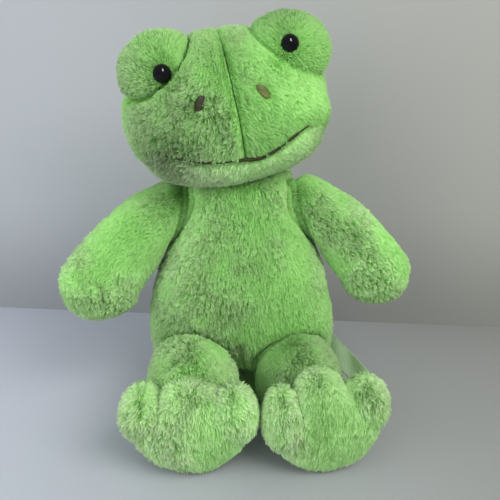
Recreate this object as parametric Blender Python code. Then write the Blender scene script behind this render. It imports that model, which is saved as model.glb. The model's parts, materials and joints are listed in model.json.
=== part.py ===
"""A seated plush frog, about 350 mm tall: sewn pile-fabric panels over filling, with glossy
eyes held by washers, embroidered nostrils and smile, and flexible neck, shoulders, hips and
ankles.

Metres, +Z up. The frog faces -Y, its left is +X, and it sits on Z = 0. It is modelled as it
sits: the head tilted and turned a little, the arms hanging out, the soles facing forward.

Every sewn bag (torso, head, mound, arm, leg, foot) has one form, which is made three times:
the pile tips, the cavity inside the fabric, and the filling a clearance smaller than that.
At each joint a ball of filling sits in a round socket of the larger piece, so a limb turns
about the ball's centre without touching, and the limb is cut back by the larger piece at
each step of its range.
"""

import math
from collections import Counter

import bmesh
import bpy
import numpy as np
from mathutils import Matrix, Vector
from mathutils.bvhtree import BVHTree

# Fabric and clearances

PILE = 0.0058
BACKING = 0.0012
SKIN = PILE + BACKING
CLEAR = 0.0003
TURN_CLEAR = 0.0006
OVERRUN = 0.012

# Torso

TORSO_HEIGHT = 0.226
TORSO_HALF_WIDTH = 0.0855
TORSO_HALF_DEPTH = 0.061
BELLY_FORWARD = 0.004
TORSO_SQUARENESS = 2.25
# Height, half-width, half-depth and forward shift, as shares of the four sizes above
TORSO_SHARES = (
    (0.00, 0.66, 0.70, 0.0),
    (0.05, 0.85, 0.78, 0.0),
    (0.13, 0.96, 0.84, 0.0),
    (0.25, 1.00, 0.88, 0.2),
    (0.40, 0.99, 0.96, 0.8),
    (0.55, 0.90, 0.94, 1.0),
    (0.70, 0.76, 0.78, 0.4),
    (0.82, 0.65, 0.66, 0.0),
    (0.92, 0.52, 0.58, 0.0),
    (1.00, 0.42, 0.52, 0.0),
)
TORSO_TOP_ROUND_SHARE = 0.10

# Neck

NECK_BELOW_TOP = 0.004
NECK_HEIGHT = TORSO_HEIGHT - NECK_BELOW_TOP
NECK_BALL = 0.033
HEAD_TURN_REST = math.radians(6.5)
HEAD_TILT_REST = math.radians(-10.5)

# Head, measured from its own middle before it is turned and tilted

HEAD_RISE = 0.051
HEAD_FORWARD = 0.008
CRANIUM_HALF_WIDTH = 0.0875
CRANIUM_HALF_DEPTH = 0.060
CRANIUM_HALF_HEIGHT = 0.059
CRANIUM_RISE = 0.003
MUZZLE_HALF_WIDTH = 0.0815
MUZZLE_HALF_DEPTH = 0.046
MUZZLE_HALF_HEIGHT = 0.036
MUZZLE_FORWARD = 0.023
MUZZLE_DROP = 0.012
CHIN_HALF_WIDTH = 0.071
CHIN_HALF_DEPTH = 0.045
CHIN_HALF_HEIGHT = 0.028
CHIN_FORWARD = 0.014
CHIN_DROP = 0.031
HEAD_SEAM_BACK = 0.010
# The filling sags a little towards the low side
HEAD_ASIDE = 0.002

# Eye mounds, from the middle of the head

MOUND_APART = 0.0495
MOUND_FORWARD = 0.012
MOUND_RISE = 0.0345
MOUND_HALF_WIDTH = 0.0365
MOUND_HALF_DEPTH = 0.033
MOUND_HALF_HEIGHT = 0.034

# Eyes, from the middle of their mound

EYE_RADIUS = 0.0075
EYE_DOME = 0.0062
EYE_RIM = 0.0010
EYE_SINK = 0.0030
EYE_SHANK_RADIUS = 0.0021
EYE_SHANK_PAST_WASHER = 0.0012
EYE_INWARD = 0.002
EYE_RISE = 0.002
WASHER_RADIUS = 0.0062
WASHER_THICKNESS = 0.0015

# Embroidery

NOSTRIL_OUT_LEFT = 0.0225
NOSTRIL_OUT_RIGHT = 0.0295
NOSTRIL_RISE = 0.008
NOSTRIL_HALF_WIDTH = 0.0029
NOSTRIL_HALF_HEIGHT = 0.0056
NOSTRIL_HALF_DEPTH = 0.0013
NOSTRIL_LEAN = math.radians(27)
MOUTH_HALF_LENGTH = 0.057
MOUTH_DROP = 0.036
MOUTH_SMILE = 0.014
MOUTH_THREAD_RADIUS = 0.0011

# Arms

SHOULDER_OUT = 0.050
SHOULDER_BELOW_TOP = 0.035
SHOULDER_HEIGHT = TORSO_HEIGHT - SHOULDER_BELOW_TOP
SHOULDER_FORWARD = 0.004
SHOULDER_BALL = 0.018
SHOULDER_SLOPE = math.radians(30)
ARM_LENGTH_LEFT = 0.134
ARM_LENGTH_RIGHT = 0.139
ARM_START_DROP_LEFT = math.radians(27)
ARM_START_DROP_RIGHT = math.radians(24)
ARM_BEND = math.radians(40)
ARM_TOWARDS_FRONT_LEFT = math.radians(0)
ARM_TOWARDS_FRONT_RIGHT = math.radians(24)
ARM_HALF_THICKNESS = 0.0273
ARM_HALF_DEPTH = 0.0245
ARM_HAND_ROUND_SHARE = 0.20
# Length along the arm, half-thickness and half-depth, as shares of the arm's sizes
ARM_SHARES = (
    (0.00, 0.86, 0.88),
    (0.15, 0.95, 0.97),
    (0.35, 1.00, 1.02),
    (0.55, 0.99, 1.00),
    (0.70, 0.97, 0.94),
    (0.85, 1.10, 0.96),
    (1.00, 1.06, 0.90),
)
ARM_SWING_BACK = math.radians(-15)
ARM_SWING_FORWARD = math.radians(36)

# Legs

HIP_OUT = 0.0435
HIP_FORWARD = 0.040
HIP_HEIGHT = 0.0435
HIP_BALL = 0.026
LEG_LENGTH = 0.062
LEG_HALF_WIDTH = 0.0370
LEG_HALF_HEIGHT = 0.0420
LEG_ROOT = 0.010
LEG_YAW_LEFT = math.radians(20)
LEG_YAW_RIGHT = math.radians(6)
# Length along the leg, half-width and half-height, as shares of the leg's sizes
LEG_SHARES = (
    (0.00, 0.90, 0.92),
    (0.30, 1.00, 1.00),
    (0.65, 0.97, 0.97),
    (0.85, 0.88, 0.90),
    (1.00, 0.78, 0.80),
)
LEG_DOWN = math.radians(-15)
LEG_UP = math.radians(20)

# Feet, from the middle of the foot, toes up and sole forward

ANKLE_BALL = 0.021
FOOT_FORWARD = 0.020
FOOT_LEAN_LEFT = math.radians(12)
FOOT_LEAN_RIGHT = math.radians(4)
FOOT_YAW_LEFT = math.radians(12)
FOOT_YAW_RIGHT = math.radians(-4)
HEEL_HALF_WIDTH = 0.0425
HEEL_HALF_DEPTH = 0.0235
HEEL_HALF_HEIGHT = 0.037
SOLE_HALF_WIDTH = 0.050
SOLE_HALF_DEPTH = 0.022
SOLE_HALF_HEIGHT = 0.026
SOLE_RISE = 0.008
TOE_APART = 0.0354
TOE_RISE = 0.020
TOE_HALF_WIDTH = 0.0175
TOE_HALF_DEPTH = 0.021
TOE_HALF_HEIGHT = 0.018
MIDDLE_TOE_RISE = 0.0245
MIDDLE_TOE_HALF_WIDTH = 0.0185
TOE_FORWARD = 0.002
FLAT_CUT = 0.0005
ANKLE_POINT = math.radians(-12)
ANKLE_FLEX = math.radians(15)

# Label

LABEL_WIDTH = 0.019
LABEL_LENGTH = 0.060
LABEL_THICKNESS = 0.0006
LABEL_HEIGHT = 0.048
LABEL_SEWN_IN = 0.005
LABEL_OUTWARD = math.radians(44)
LABEL_DROP = math.radians(30)
LABEL_ROLL = math.radians(12)

# Head joint ranges

HEAD_TURN_RANGE = (math.radians(-25), math.radians(25))
HEAD_TILT_RANGE = (math.radians(-1), math.radians(21))

# How finely the forms are divided: rings, then segments around

TORSO_GRID = (10, 18)
TORSO_CAVITY_GRID = (6, 12)
HEAD_GRID = (10, 20)
HEAD_CAVITY_GRID = (6, 12)
MOUND_GRID = (7, 12)
MOUND_CAVITY_GRID = (5, 8)
ARM_GRID = (8, 12)
ARM_CAVITY_GRID = (5, 8)
LEG_GRID = (5, 12)
LEG_CAVITY_GRID = (3, 8)
FOOT_GRID = (6, 28)
FOOT_CAVITY_GRID = (5, 12)
BALL_GRID = (8, 12)
NECK_GRID = (12, 20)
ARM_CARVE_STEPS = 4
LEG_CARVE_STEPS = 2
HEAD_CARVE_STEPS = 3
SMALL_ROUND = 12
EYE_DOME_STEPS = 4
MOUTH_STEPS = 16
MOUTH_SIDES = 5
NOSTRIL_GRID = (5, 8)

# How sharply two lobes of one form meet

HEAD_SHARPNESS = 14
FOOT_SHARPNESS = 12
# How quickly a lobe stops counting beside it
MISS_FADE = 2

FORWARD = Vector((0, -1, 0))
UP = Vector((0, 0, 1))
LEFT, RIGHT = 1, -1
SIDE_NAMES = {LEFT: "left", RIGHT: "right"}

# Finishes: base colour, roughness

FINISHES = {
    "green_pile": ((0.20, 0.52, 0.10, 1), 0.95),
    "light_pile": ((0.27, 0.60, 0.15, 1), 0.95),
    "filling": ((0.86, 0.86, 0.83, 1), 1.0),
    "black_eye": ((0.008, 0.008, 0.010, 1), 0.06),
    "washer": ((0.82, 0.82, 0.80, 1), 0.4),
    "brown_thread": ((0.075, 0.060, 0.014, 1), 0.6),
    "satin": ((0.30, 0.47, 0.17, 1), 0.35),
}


def clear_scene():
    """Removes what the startup scene holds."""
    for found in list(bpy.data.objects):
        bpy.data.objects.remove(found, do_unlink=True)


def finish(name):
    """The material of this name, made once."""
    made = bpy.data.materials.get(name)
    if made:
        return made
    colour, roughness = FINISHES[name]
    made = bpy.data.materials.new(name)
    made.use_nodes = True
    shader = made.node_tree.nodes["Principled BSDF"]
    shader.inputs["Base Color"].default_value = colour
    shader.inputs["Roughness"].default_value = roughness
    shader.inputs["Metallic"].default_value = 0
    made.diffuse_color = colour
    return made


def solid(name, points, faces):
    """A mesh object with these points and faces, faces pointing out.

    Every four-sided face is split along the same diagonal, so that a form and a larger one
    around it never touch where their faces are not quite flat.
    """
    mesh = bpy.data.meshes.new(name)
    split = []
    for face in faces:
        if len(face) == 4:
            a, b, c, d = face
            split += [(a, b, c), (a, c, d)]
        else:
            split.append(face)
    mesh.from_pydata([tuple(p) for p in points], [], split)
    work = bmesh.new()
    work.from_mesh(mesh)
    bmesh.ops.recalc_face_normals(work, faces=work.faces)
    work.to_mesh(mesh)
    work.free()
    made = bpy.data.objects.new(name, mesh)
    bpy.context.scene.collection.objects.link(made)
    return made


def copied(source, matrix=None):
    """A copy of an object with its own mesh, moved by the matrix."""
    made = source.copy()
    made.data = source.data.copy()
    if matrix is not None:
        made.data.transform(matrix)
    bpy.context.scene.collection.objects.link(made)
    return made


def discard(*objects):
    for gone in objects:
        bpy.data.objects.remove(gone, do_unlink=True)


def is_closed(mesh):
    """Whether the mesh has faces, and every edge lies between just two of them."""
    uses = Counter(key for face in mesh.polygons for key in face.edge_keys)
    return bool(uses) and all(count == 2 for count in uses.values())


def combine(target, other, operation, solvers=("EXACT", "MANIFOLD")):
    """Joins or cuts the target with the other object, and keeps the result as its mesh.

    Where the first solver leaves an open edge, the next one makes the cut.
    """
    cut = target.modifiers.new("cut", "BOOLEAN")
    cut.operation = operation
    cut.object = other
    for solver in solvers:
        cut.solver = solver
        graph = bpy.context.evaluated_depsgraph_get()
        mesh = bpy.data.meshes.new_from_object(target.evaluated_get(graph))
        if is_closed(mesh):
            break
    target.modifiers.clear()
    target.data = mesh


def cut_by(target, *cutters):
    for cutter in cutters:
        combine(target, cutter, "DIFFERENCE")


def joined_with(target, *others):
    for other in others:
        combine(target, other, "UNION")


def kept_inside(source, region, name):
    """A copy of the source with only what lies in the region."""
    made = copied(source)
    made.name = name
    combine(made, region, "INTERSECT")
    return made


def without_crumbs(target):
    """Leaves only the largest body of the mesh: two openings can part a crumb of fabric."""
    work = bmesh.new()
    work.from_mesh(target.data)
    left, bodies = set(work.faces), []
    while left:
        body, border = set(), [left.pop()]
        while border:
            face = border.pop()
            body.add(face)
            near = {other for edge in face.edges for other in edge.link_faces} & left
            left -= near
            border.extend(near)
        bodies.append(body)
    bodies.sort(key=len)
    for body in bodies[:-1]:
        bmesh.ops.delete(work, geom=list(body), context="FACES")
    work.to_mesh(target.data)
    work.free()


def dressed(target, name, finish_name, empty):
    """Names and shades a finished piece and hangs it on its joint's empty."""
    without_crumbs(target)
    target.name = name
    target.data.name = name
    target.data.materials.clear()
    target.data.materials.append(finish(finish_name))
    target.data.shade_smooth()
    target.data.set_sharp_from_angle(angle=math.radians(40))
    bpy.context.view_layer.update()
    target.data.transform(empty.matrix_world.inverted())
    target.parent = empty
    return target


def joint_empty(name, place, parent, turn=None):
    """An empty on a joint's axis, which carries the pieces that move with it."""
    made = bpy.data.objects.new(name, None)
    made.empty_display_size = NECK_BALL
    bpy.context.scene.collection.objects.link(made)
    made.parent = parent
    bpy.context.view_layer.update()
    world = Matrix.Translation(place) @ (turn or Matrix.Identity(4))
    made.matrix_local = parent.matrix_world.inverted() @ world if parent else world
    bpy.context.view_layer.update()
    return made


def smooth_rows(rows, where):
    """The columns of a table of shares, read smoothly at the given first-column values."""
    rows = np.array(rows, float)
    at, values = rows[:, 0], rows[:, 1:]
    slopes = np.gradient(values, at, axis=0)
    low = np.clip(np.searchsorted(at, where) - 1, 0, len(at) - 2)
    step = (at[low + 1] - at[low])[:, None]
    t = ((where - at[low]) / step[:, 0])[:, None]
    start = (1 + 2 * t) * (1 - t) ** 2 * values[low] + t * (1 - t) ** 2 * step * slopes[low]
    end = t**2 * (3 - 2 * t) * values[low + 1] - t**2 * (1 - t) * step * slopes[low + 1]
    return start + end


def rounded_off(where, share):
    """1 along a form, falling as a quarter circle over the last share of it."""
    past = np.clip((where - (1 - share)) / share, 0, 1)
    return np.sqrt(1 - past**2)


def spaced(rings):
    """Places along a form, closer together towards both ends."""
    return 0.5 - 0.5 * np.cos(np.linspace(0, math.pi, rings + 1))


def oval(middle, across, through, half_across, half_through, segments, squareness):
    """The points of one ring, a superellipse about its middle."""
    points = []
    for step in range(segments):
        angle = math.tau * (step + 0.5) / segments
        c, s = math.cos(angle), math.sin(angle)
        x = math.copysign(abs(c) ** (2 / squareness), c) * half_across
        y = math.copysign(abs(s) ** (2 / squareness), s) * half_through
        points.append(middle + across * x + through * y)
    return points


def loft(name, rings, end_tip=None):
    """A closed solid through the rings: a flat start, and a flat end or a tip."""
    count = len(rings[0])
    points = [p for ring in rings for p in ring]
    faces = [tuple(range(count))]
    for row in range(len(rings) - 1):
        for k in range(count):
            a, b = row * count + k, row * count + (k + 1) % count
            faces.append((a, b, b + count, a + count))
    last = (len(rings) - 1) * count
    if end_tip is None:
        faces.append(tuple(range(last, last + count)))
    else:
        points.append(end_tip)
        for k in range(count):
            faces.append((last + k, last + (k + 1) % count, len(points) - 1))
    return solid(name, points, faces)


def directions(rings, segments):
    """Unit directions of a ball's points, its poles at front and back, and their faces."""
    ways = [FORWARD.copy()]
    for row in range(1, rings):
        lean = math.pi * row / rings
        for k in range(segments):
            angle = math.tau * (k + 0.5) / segments
            across = math.sin(lean)
            ways.append(Vector((across * math.cos(angle), -math.cos(lean), across * math.sin(angle))))
    ways.append(-FORWARD)
    faces = [(0, 1 + k, 1 + (k + 1) % segments) for k in range(segments)]
    for row in range(rings - 2):
        for k in range(segments):
            a, b = 1 + row * segments + k, 1 + row * segments + (k + 1) % segments
            faces.append((a, b, b + segments, a + segments))
    last = 1 + (rings - 2) * segments
    end = len(ways) - 1
    faces += [(last + k, last + (k + 1) % segments, end) for k in range(segments)]
    return np.array([tuple(w) for w in ways]), faces


def lobed(name, lobes, grid, grow, sharpness=2, matrix=None):
    """A closed form about one middle, as far out as its lobes reach, blended where they meet.

    Each lobe is the place of its middle and its three half-sizes, which all grow alike.
    """
    ways, faces = directions(*grid)
    total = np.zeros(len(ways))
    for place, halves in lobes:
        size = np.array(halves, float) + grow
        place = np.array(place, float)
        a = (ways**2 / size**2).sum(1)
        b = (ways * place / size**2).sum(1)
        inside = b**2 / a + 1 - (place**2 / size**2).sum()
        reach = np.maximum(b + np.sqrt(a * np.maximum(inside, 0)), 0) / a
        reach *= np.exp(MISS_FADE * np.minimum(inside, 0))
        total += reach**sharpness
    points = ways * (total ** (1 / sharpness))[:, None]
    made = solid(name, points, faces)
    if matrix is not None:
        made.data.transform(matrix)
    return made


def ball(place, radius, grid=BALL_GRID):
    return lobed("ball", [((0, 0, 0), (radius,) * 3)], grid, 0, 1, Matrix.Translation(place))


def socket_for(place, radius, grid=BALL_GRID):
    """A ball wide enough that even its flats clear the turning ball of this radius."""
    rings, segments = grid
    flats = math.cos(math.pi / (2 * rings)) * math.cos(math.pi / segments)
    return ball(place, (radius + CLEAR) / flats, grid)


def block(low, high, matrix=None):
    """A box between two corners."""
    points = [(x, y, z) for x in (low[0], high[0]) for y in (low[1], high[1]) for z in (low[2], high[2])]
    faces = [(0, 1, 3, 2), (4, 6, 7, 5), (0, 4, 5, 1), (2, 3, 7, 6), (0, 2, 6, 4), (1, 5, 7, 3)]
    made = solid("block", points, faces)
    if matrix is not None:
        made.data.transform(matrix)
    return made


def turned(name, profile, segments, matrix):
    """A solid turned about the local Z axis, from its top middle to its bottom middle."""
    points = [Vector((0, 0, profile[0][1]))]
    for radius, height in profile[1:-1]:
        for k in range(segments):
            angle = math.tau * k / segments
            points.append(Vector((radius * math.cos(angle), radius * math.sin(angle), height)))
    points.append(Vector((0, 0, profile[-1][1])))
    rows = len(profile) - 2
    faces = [(0, 1 + k, 1 + (k + 1) % segments) for k in range(segments)]
    for row in range(rows - 1):
        for k in range(segments):
            a, b = 1 + row * segments + k, 1 + row * segments + (k + 1) % segments
            faces.append((a, b, b + segments, a + segments))
    last, end = 1 + (rows - 1) * segments, len(points) - 1
    faces += [(last + k, last + (k + 1) % segments, end) for k in range(segments)]
    made = solid(name, points, faces)
    made.data.transform(matrix)
    return made


def about(place, turn):
    """The turn taken about a point."""
    return Matrix.Translation(place) @ turn @ Matrix.Translation(-place)


def swings(axis, limits, steps):
    """The turns of a joint at rest and at even steps of its range."""
    angles = [0.0, *np.linspace(limits[0], limits[1], steps)]
    return [Matrix.Rotation(angle, 4, axis) for angle in angles]


def carved(target, larger, place, motions):
    """Cuts the target back by the larger form, at each motion of the target about the place.

    The turned copies of one form nearly coincide, where the exact solver loses the target.
    """
    for motion in motions:
        cutter = copied(larger, about(place, motion.inverted()))
        combine(target, cutter, "DIFFERENCE", ("MANIFOLD",))
        discard(cutter)


class Bag:
    """One sewn form, made as its pile tips, its cavity and its filling."""

    def __init__(self, form):
        self.form = form
        self.outer = form(0, False)
        self.cavity = form(-SKIN, True)
        self.filling = form(-SKIN - CLEAR, True)
        self.cutter = form(CLEAR, False)
        self.turning_cutter = form(TURN_CLEAR, False)

    def skin(self):
        """The fabric: the pile tips with the cavity taken out."""
        made = copied(self.outer)
        cut_by(made, self.cavity)
        return made

    def discard(self):
        discard(self.outer, self.cavity, self.filling, self.cutter, self.turning_cutter)


# Forms


def torso_form(grow, inside):
    rings, segments = TORSO_CAVITY_GRID if inside else TORSO_GRID
    where = spaced(rings)
    table = smooth_rows(TORSO_SHARES, where)
    end = rounded_off(where, TORSO_TOP_ROUND_SHARE)
    low, high = -grow if inside else 0, TORSO_HEIGHT + grow
    loops = []
    for at, (width, depth, forward), top in list(zip(where, table, end))[:-1]:
        middle = Vector((0, -forward * BELLY_FORWARD, low + (high - low) * at))
        loops.append(
            oval(
                middle,
                Vector((1, 0, 0)),
                Vector((0, 1, 0)),
                width * top * TORSO_HALF_WIDTH + grow,
                depth * top * TORSO_HALF_DEPTH + grow,
                segments,
                TORSO_SQUARENESS,
            )
        )
    return loft("torso", loops, Vector((0, 0, high)))


HEAD_LOBES = (
    (
        (-HEAD_ASIDE, 0, CRANIUM_RISE),
        (CRANIUM_HALF_WIDTH, CRANIUM_HALF_DEPTH, CRANIUM_HALF_HEIGHT),
    ),
    (
        (-HEAD_ASIDE, -MUZZLE_FORWARD, -MUZZLE_DROP),
        (MUZZLE_HALF_WIDTH, MUZZLE_HALF_DEPTH, MUZZLE_HALF_HEIGHT),
    ),
    (
        (-HEAD_ASIDE, -CHIN_FORWARD, -CHIN_DROP),
        (CHIN_HALF_WIDTH, CHIN_HALF_DEPTH, CHIN_HALF_HEIGHT),
    ),
)


def neck_place():
    return Vector((0, 0, NECK_HEIGHT))


def head_turn():
    """How the head is turned and then tilted at rest."""
    return Matrix.Rotation(HEAD_TURN_REST, 4, "Z") @ Matrix.Rotation(HEAD_TILT_REST, 4, "Y")


def nods():
    """Every turn of the neck with every tilt of the head."""
    tilt_axis = Matrix.Rotation(HEAD_TURN_REST, 3, "Z") @ -FORWARD
    turns = swings(UP, HEAD_TURN_RANGE, HEAD_CARVE_STEPS)
    tilts = swings(tilt_axis, HEAD_TILT_RANGE, HEAD_CARVE_STEPS)
    return [turn @ tilt for turn in turns for tilt in tilts]


def head_matrix():
    """From the head's own middle to its place at rest."""
    middle = Matrix.Translation((0, -HEAD_FORWARD, HEAD_RISE))
    return Matrix.Translation(neck_place()) @ head_turn() @ middle


def head_form(grow, inside):
    grid = HEAD_CAVITY_GRID if inside else HEAD_GRID
    return lobed("head", HEAD_LOBES, grid, grow, HEAD_SHARPNESS, head_matrix())


def mound_matrix(side):
    place = Matrix.Translation((side * MOUND_APART, -MOUND_FORWARD, MOUND_RISE))
    return head_matrix() @ place


def mound_form(side):
    halves = (MOUND_HALF_WIDTH, MOUND_HALF_DEPTH, MOUND_HALF_HEIGHT)

    def form(grow, inside):
        grid = MOUND_CAVITY_GRID if inside else MOUND_GRID
        return lobed("mound", [((0, 0, 0), halves)], grid, grow, 1, mound_matrix(side))

    return form


def shoulder_place(side):
    return Vector((side * SHOULDER_OUT, -SHOULDER_FORWARD, SHOULDER_HEIGHT))


def shoulder_axis(side):
    """Square to the sloping side of the torso, so that a positive turn swings the arm forward."""
    return Vector((-math.cos(SHOULDER_SLOPE), 0, -side * math.sin(SHOULDER_SLOPE)))


def arm_yaw(side):
    return ARM_TOWARDS_FRONT_LEFT if side == LEFT else ARM_TOWARDS_FRONT_RIGHT


def arm_form(side):
    """A mitten arm along an arc that leaves the shoulder and bends down to the hand."""
    yaw = arm_yaw(side)
    outward = Vector((side * math.cos(yaw), -math.sin(yaw), 0))
    drop = ARM_START_DROP_LEFT if side == LEFT else ARM_START_DROP_RIGHT
    arm_length = ARM_LENGTH_LEFT if side == LEFT else ARM_LENGTH_RIGHT
    through = outward.cross(UP)
    curve = ARM_BEND / arm_length

    def point(length):
        angle = drop + curve * length
        along = (math.sin(angle) - math.sin(drop)) / curve
        down = (math.cos(drop) - math.cos(angle)) / curve
        return shoulder_place(side) + outward * along - UP * down

    def form(grow, inside):
        rings, segments = ARM_CAVITY_GRID if inside else ARM_GRID
        where = spaced(rings)
        table = smooth_rows(ARM_SHARES, where)
        end = rounded_off(where, ARM_HAND_ROUND_SHARE)
        start, reach = -OVERRUN if inside else 0, arm_length + grow
        loops = []
        for at, (thick, deep), top in list(zip(where, table, end))[:-1]:
            length = start + (reach - start) * at
            angle = drop + curve * length
            rise = outward * math.sin(angle) + UP * math.cos(angle)
            loops.append(
                oval(
                    point(length),
                    rise,
                    through,
                    thick * top * ARM_HALF_THICKNESS + grow,
                    deep * top * ARM_HALF_DEPTH + grow,
                    segments,
                    2,
                )
            )
        return loft("arm", loops, point(reach))

    return form


def hip_place(side):
    return Vector((side * HIP_OUT, -HIP_FORWARD, HIP_HEIGHT))


def leg_direction(side):
    yaw = LEG_YAW_LEFT if side == LEFT else LEG_YAW_RIGHT
    return Vector((math.sin(yaw), -math.cos(yaw), 0))


def ankle_place(side):
    return hip_place(side) + leg_direction(side) * LEG_LENGTH


def leg_form(side):
    """A short thick tube from inside the torso to the ankle."""
    along = leg_direction(side)
    across = along.cross(UP)

    def form(grow, inside):
        rings, segments = LEG_CAVITY_GRID if inside else LEG_GRID
        where = spaced(rings)
        past = OVERRUN if inside else 0
        start, end = -LEG_ROOT - past, LEG_LENGTH + past
        loops = []
        for at, (wide, high) in zip(where, smooth_rows(LEG_SHARES, where)):
            middle = hip_place(side) + along * (start + (end - start) * at)
            loops.append(
                oval(
                    middle,
                    across,
                    UP,
                    wide * LEG_HALF_WIDTH + grow,
                    high * LEG_HALF_HEIGHT + grow,
                    segments,
                    2,
                )
            )
        return loft("leg", loops)

    return form


def foot_matrix(side, height):
    """From the foot's own middle to its place at rest, its middle at this height."""
    yaw, lean = FOOT_YAW_RIGHT, FOOT_LEAN_RIGHT
    if side == LEFT:
        yaw, lean = FOOT_YAW_LEFT, FOOT_LEAN_LEFT
    turn = Matrix.Rotation(yaw, 4, "Z") @ Matrix.Rotation(-lean, 4, "X")
    place = ankle_place(side) + Vector((math.sin(yaw), -math.cos(yaw), 0)) * FOOT_FORWARD
    place.z = height
    return Matrix.Translation(place) @ turn


def foot_lobes():
    toe = (TOE_HALF_WIDTH, TOE_HALF_DEPTH, TOE_HALF_HEIGHT)
    return [
        ((0, 0, 0), (HEEL_HALF_WIDTH, HEEL_HALF_DEPTH, HEEL_HALF_HEIGHT)),
        ((0, 0, SOLE_RISE), (SOLE_HALF_WIDTH, SOLE_HALF_DEPTH, SOLE_HALF_HEIGHT)),
        ((-TOE_APART, -TOE_FORWARD, TOE_RISE), toe),
        ((TOE_APART, -TOE_FORWARD, TOE_RISE), toe),
        ((0, 0, MIDDLE_TOE_RISE), (MIDDLE_TOE_HALF_WIDTH, TOE_HALF_DEPTH, TOE_HALF_HEIGHT)),
    ]


def standing_height(side):
    """How high the foot's middle is when its lowest pile is pressed flat on the floor."""
    trial = lobed("foot", foot_lobes(), FOOT_GRID, 0, FOOT_SHARPNESS, foot_matrix(side, 0))
    lowest = min(point.co.z for point in trial.data.vertices)
    discard(trial)
    return -lowest - FLAT_CUT


def foot_form(side, height):
    def form(grow, inside):
        grid = FOOT_CAVITY_GRID if inside else FOOT_GRID
        matrix = foot_matrix(side, height)
        return lobed("foot", foot_lobes(), grid, grow, FOOT_SHARPNESS, matrix)

    return form


# Sub-assemblies


def build_torso(torso, balls, empty):
    """Front and back panels, split at the side seams, over one filling."""
    skin = torso.skin()
    label = label_slab(CLEAR)
    cut_by(skin, *balls, label)
    discard(label)
    far = 2 * TORSO_HALF_WIDTH
    half_gap = CLEAR / 2
    front = block((-far, -far, -OVERRUN), (far, -half_gap, 2 * TORSO_HEIGHT))
    back = block((-far, half_gap, -OVERRUN), (far, far, 2 * TORSO_HEIGHT))
    dressed(kept_inside(skin, front, "front"), "torso_front_panel", "green_pile", empty)
    dressed(kept_inside(skin, back, "back"), "torso_back_panel", "green_pile", empty)
    filling = copied(torso.filling)
    cut_by(filling, *balls)
    label = label_slab(CLEAR)
    cut_by(filling, label)
    dressed(filling, "torso_filling", "filling", empty)
    discard(skin, front, back, label)


def label_slab(grow):
    """The satin label, its end sewn into the left side seam and hanging out and forward."""
    height_share = LABEL_HEIGHT / TORSO_HEIGHT
    width = smooth_rows(TORSO_SHARES, np.array([height_share]))[0][0] * TORSO_HALF_WIDTH
    place = Matrix.Translation((width, 0, LABEL_HEIGHT))
    turn = (
        Matrix.Rotation(-LABEL_OUTWARD, 4, "Z")
        @ Matrix.Rotation(LABEL_DROP, 4, "Y")
        @ Matrix.Rotation(LABEL_ROLL, 4, "X")
    )
    low = (-LABEL_SEWN_IN - grow, -LABEL_THICKNESS / 2 - grow, -LABEL_WIDTH / 2 - grow)
    high = (LABEL_LENGTH + grow, LABEL_THICKNESS / 2 + grow, LABEL_WIDTH / 2 + grow)
    return block(low, high, place @ turn)


def smile_height(x):
    """The height of the mouth line at a distance from the middle of the face."""
    near = min(abs(x), MOUTH_HALF_LENGTH)
    return -MOUTH_DROP + MOUTH_SMILE * (near / MOUTH_HALF_LENGTH) ** 2


def face_point(tree, x, z):
    """Where a line straight back into the face meets its pile, in the head's own frame."""
    start = Vector((x, -2 * CRANIUM_HALF_WIDTH, z))
    return tree.ray_cast(start, Vector((0, 1, 0)))[0]


def mouth_thread(tree, grow):
    """The stitched smile, a thin thread laid half into the pile."""
    steps = np.linspace(-MOUTH_HALF_LENGTH, MOUTH_HALF_LENGTH, MOUTH_STEPS)
    path = [face_point(tree, x, smile_height(x)) for x in steps]
    radius = MOUTH_THREAD_RADIUS + grow
    loops = []
    for at, middle in enumerate(path):
        along = (path[min(at + 1, len(path) - 1)] - path[max(at - 1, 0)]).normalized()
        across = along.cross(FORWARD).normalized()
        through = along.cross(across)
        if grow and at in (0, len(path) - 1):
            middle = middle + along * (grow if at else -grow)
        loops.append(oval(middle, across, through, radius, radius, MOUTH_SIDES, 2))
    made = loft("mouth", loops)
    made.data.transform(head_matrix())
    return made


def nostril_pad(tree, side, grow):
    """One embroidered nostril, an oval pad half sunk in the pile."""
    out = NOSTRIL_OUT_LEFT if side == LEFT else NOSTRIL_OUT_RIGHT
    place = face_point(tree, side * out, NOSTRIL_RISE)
    halves = (NOSTRIL_HALF_WIDTH, NOSTRIL_HALF_DEPTH, NOSTRIL_HALF_HEIGHT)
    lean = Matrix.Rotation(-side * NOSTRIL_LEAN, 4, "Y")
    matrix = head_matrix() @ Matrix.Translation(place) @ lean
    return lobed("nostril", [((0, 0, 0), halves)], NOSTRIL_GRID, grow, 1, matrix)


def eye_matrix(side):
    """On the front of the mound's pile, its local +Z pointing out along the eye's shank."""
    off_middle = (EYE_INWARD / MOUND_HALF_WIDTH) ** 2 + (EYE_RISE / MOUND_HALF_HEIGHT) ** 2
    depth = MOUND_HALF_DEPTH * math.sqrt(1 - off_middle)
    place = Matrix.Translation((-side * EYE_INWARD, -depth + EYE_SINK, EYE_RISE))
    return mound_matrix(side) @ place @ Matrix.Rotation(math.pi / 2, 4, "X")


def washer_top():
    """How far behind the eye's seat the washer lies: past the fabric and its curve there."""
    curve = MOUND_HALF_DEPTH - math.sqrt(MOUND_HALF_DEPTH**2 - WASHER_RADIUS**2)
    return SKIN - EYE_SINK + curve + CLEAR


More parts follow.
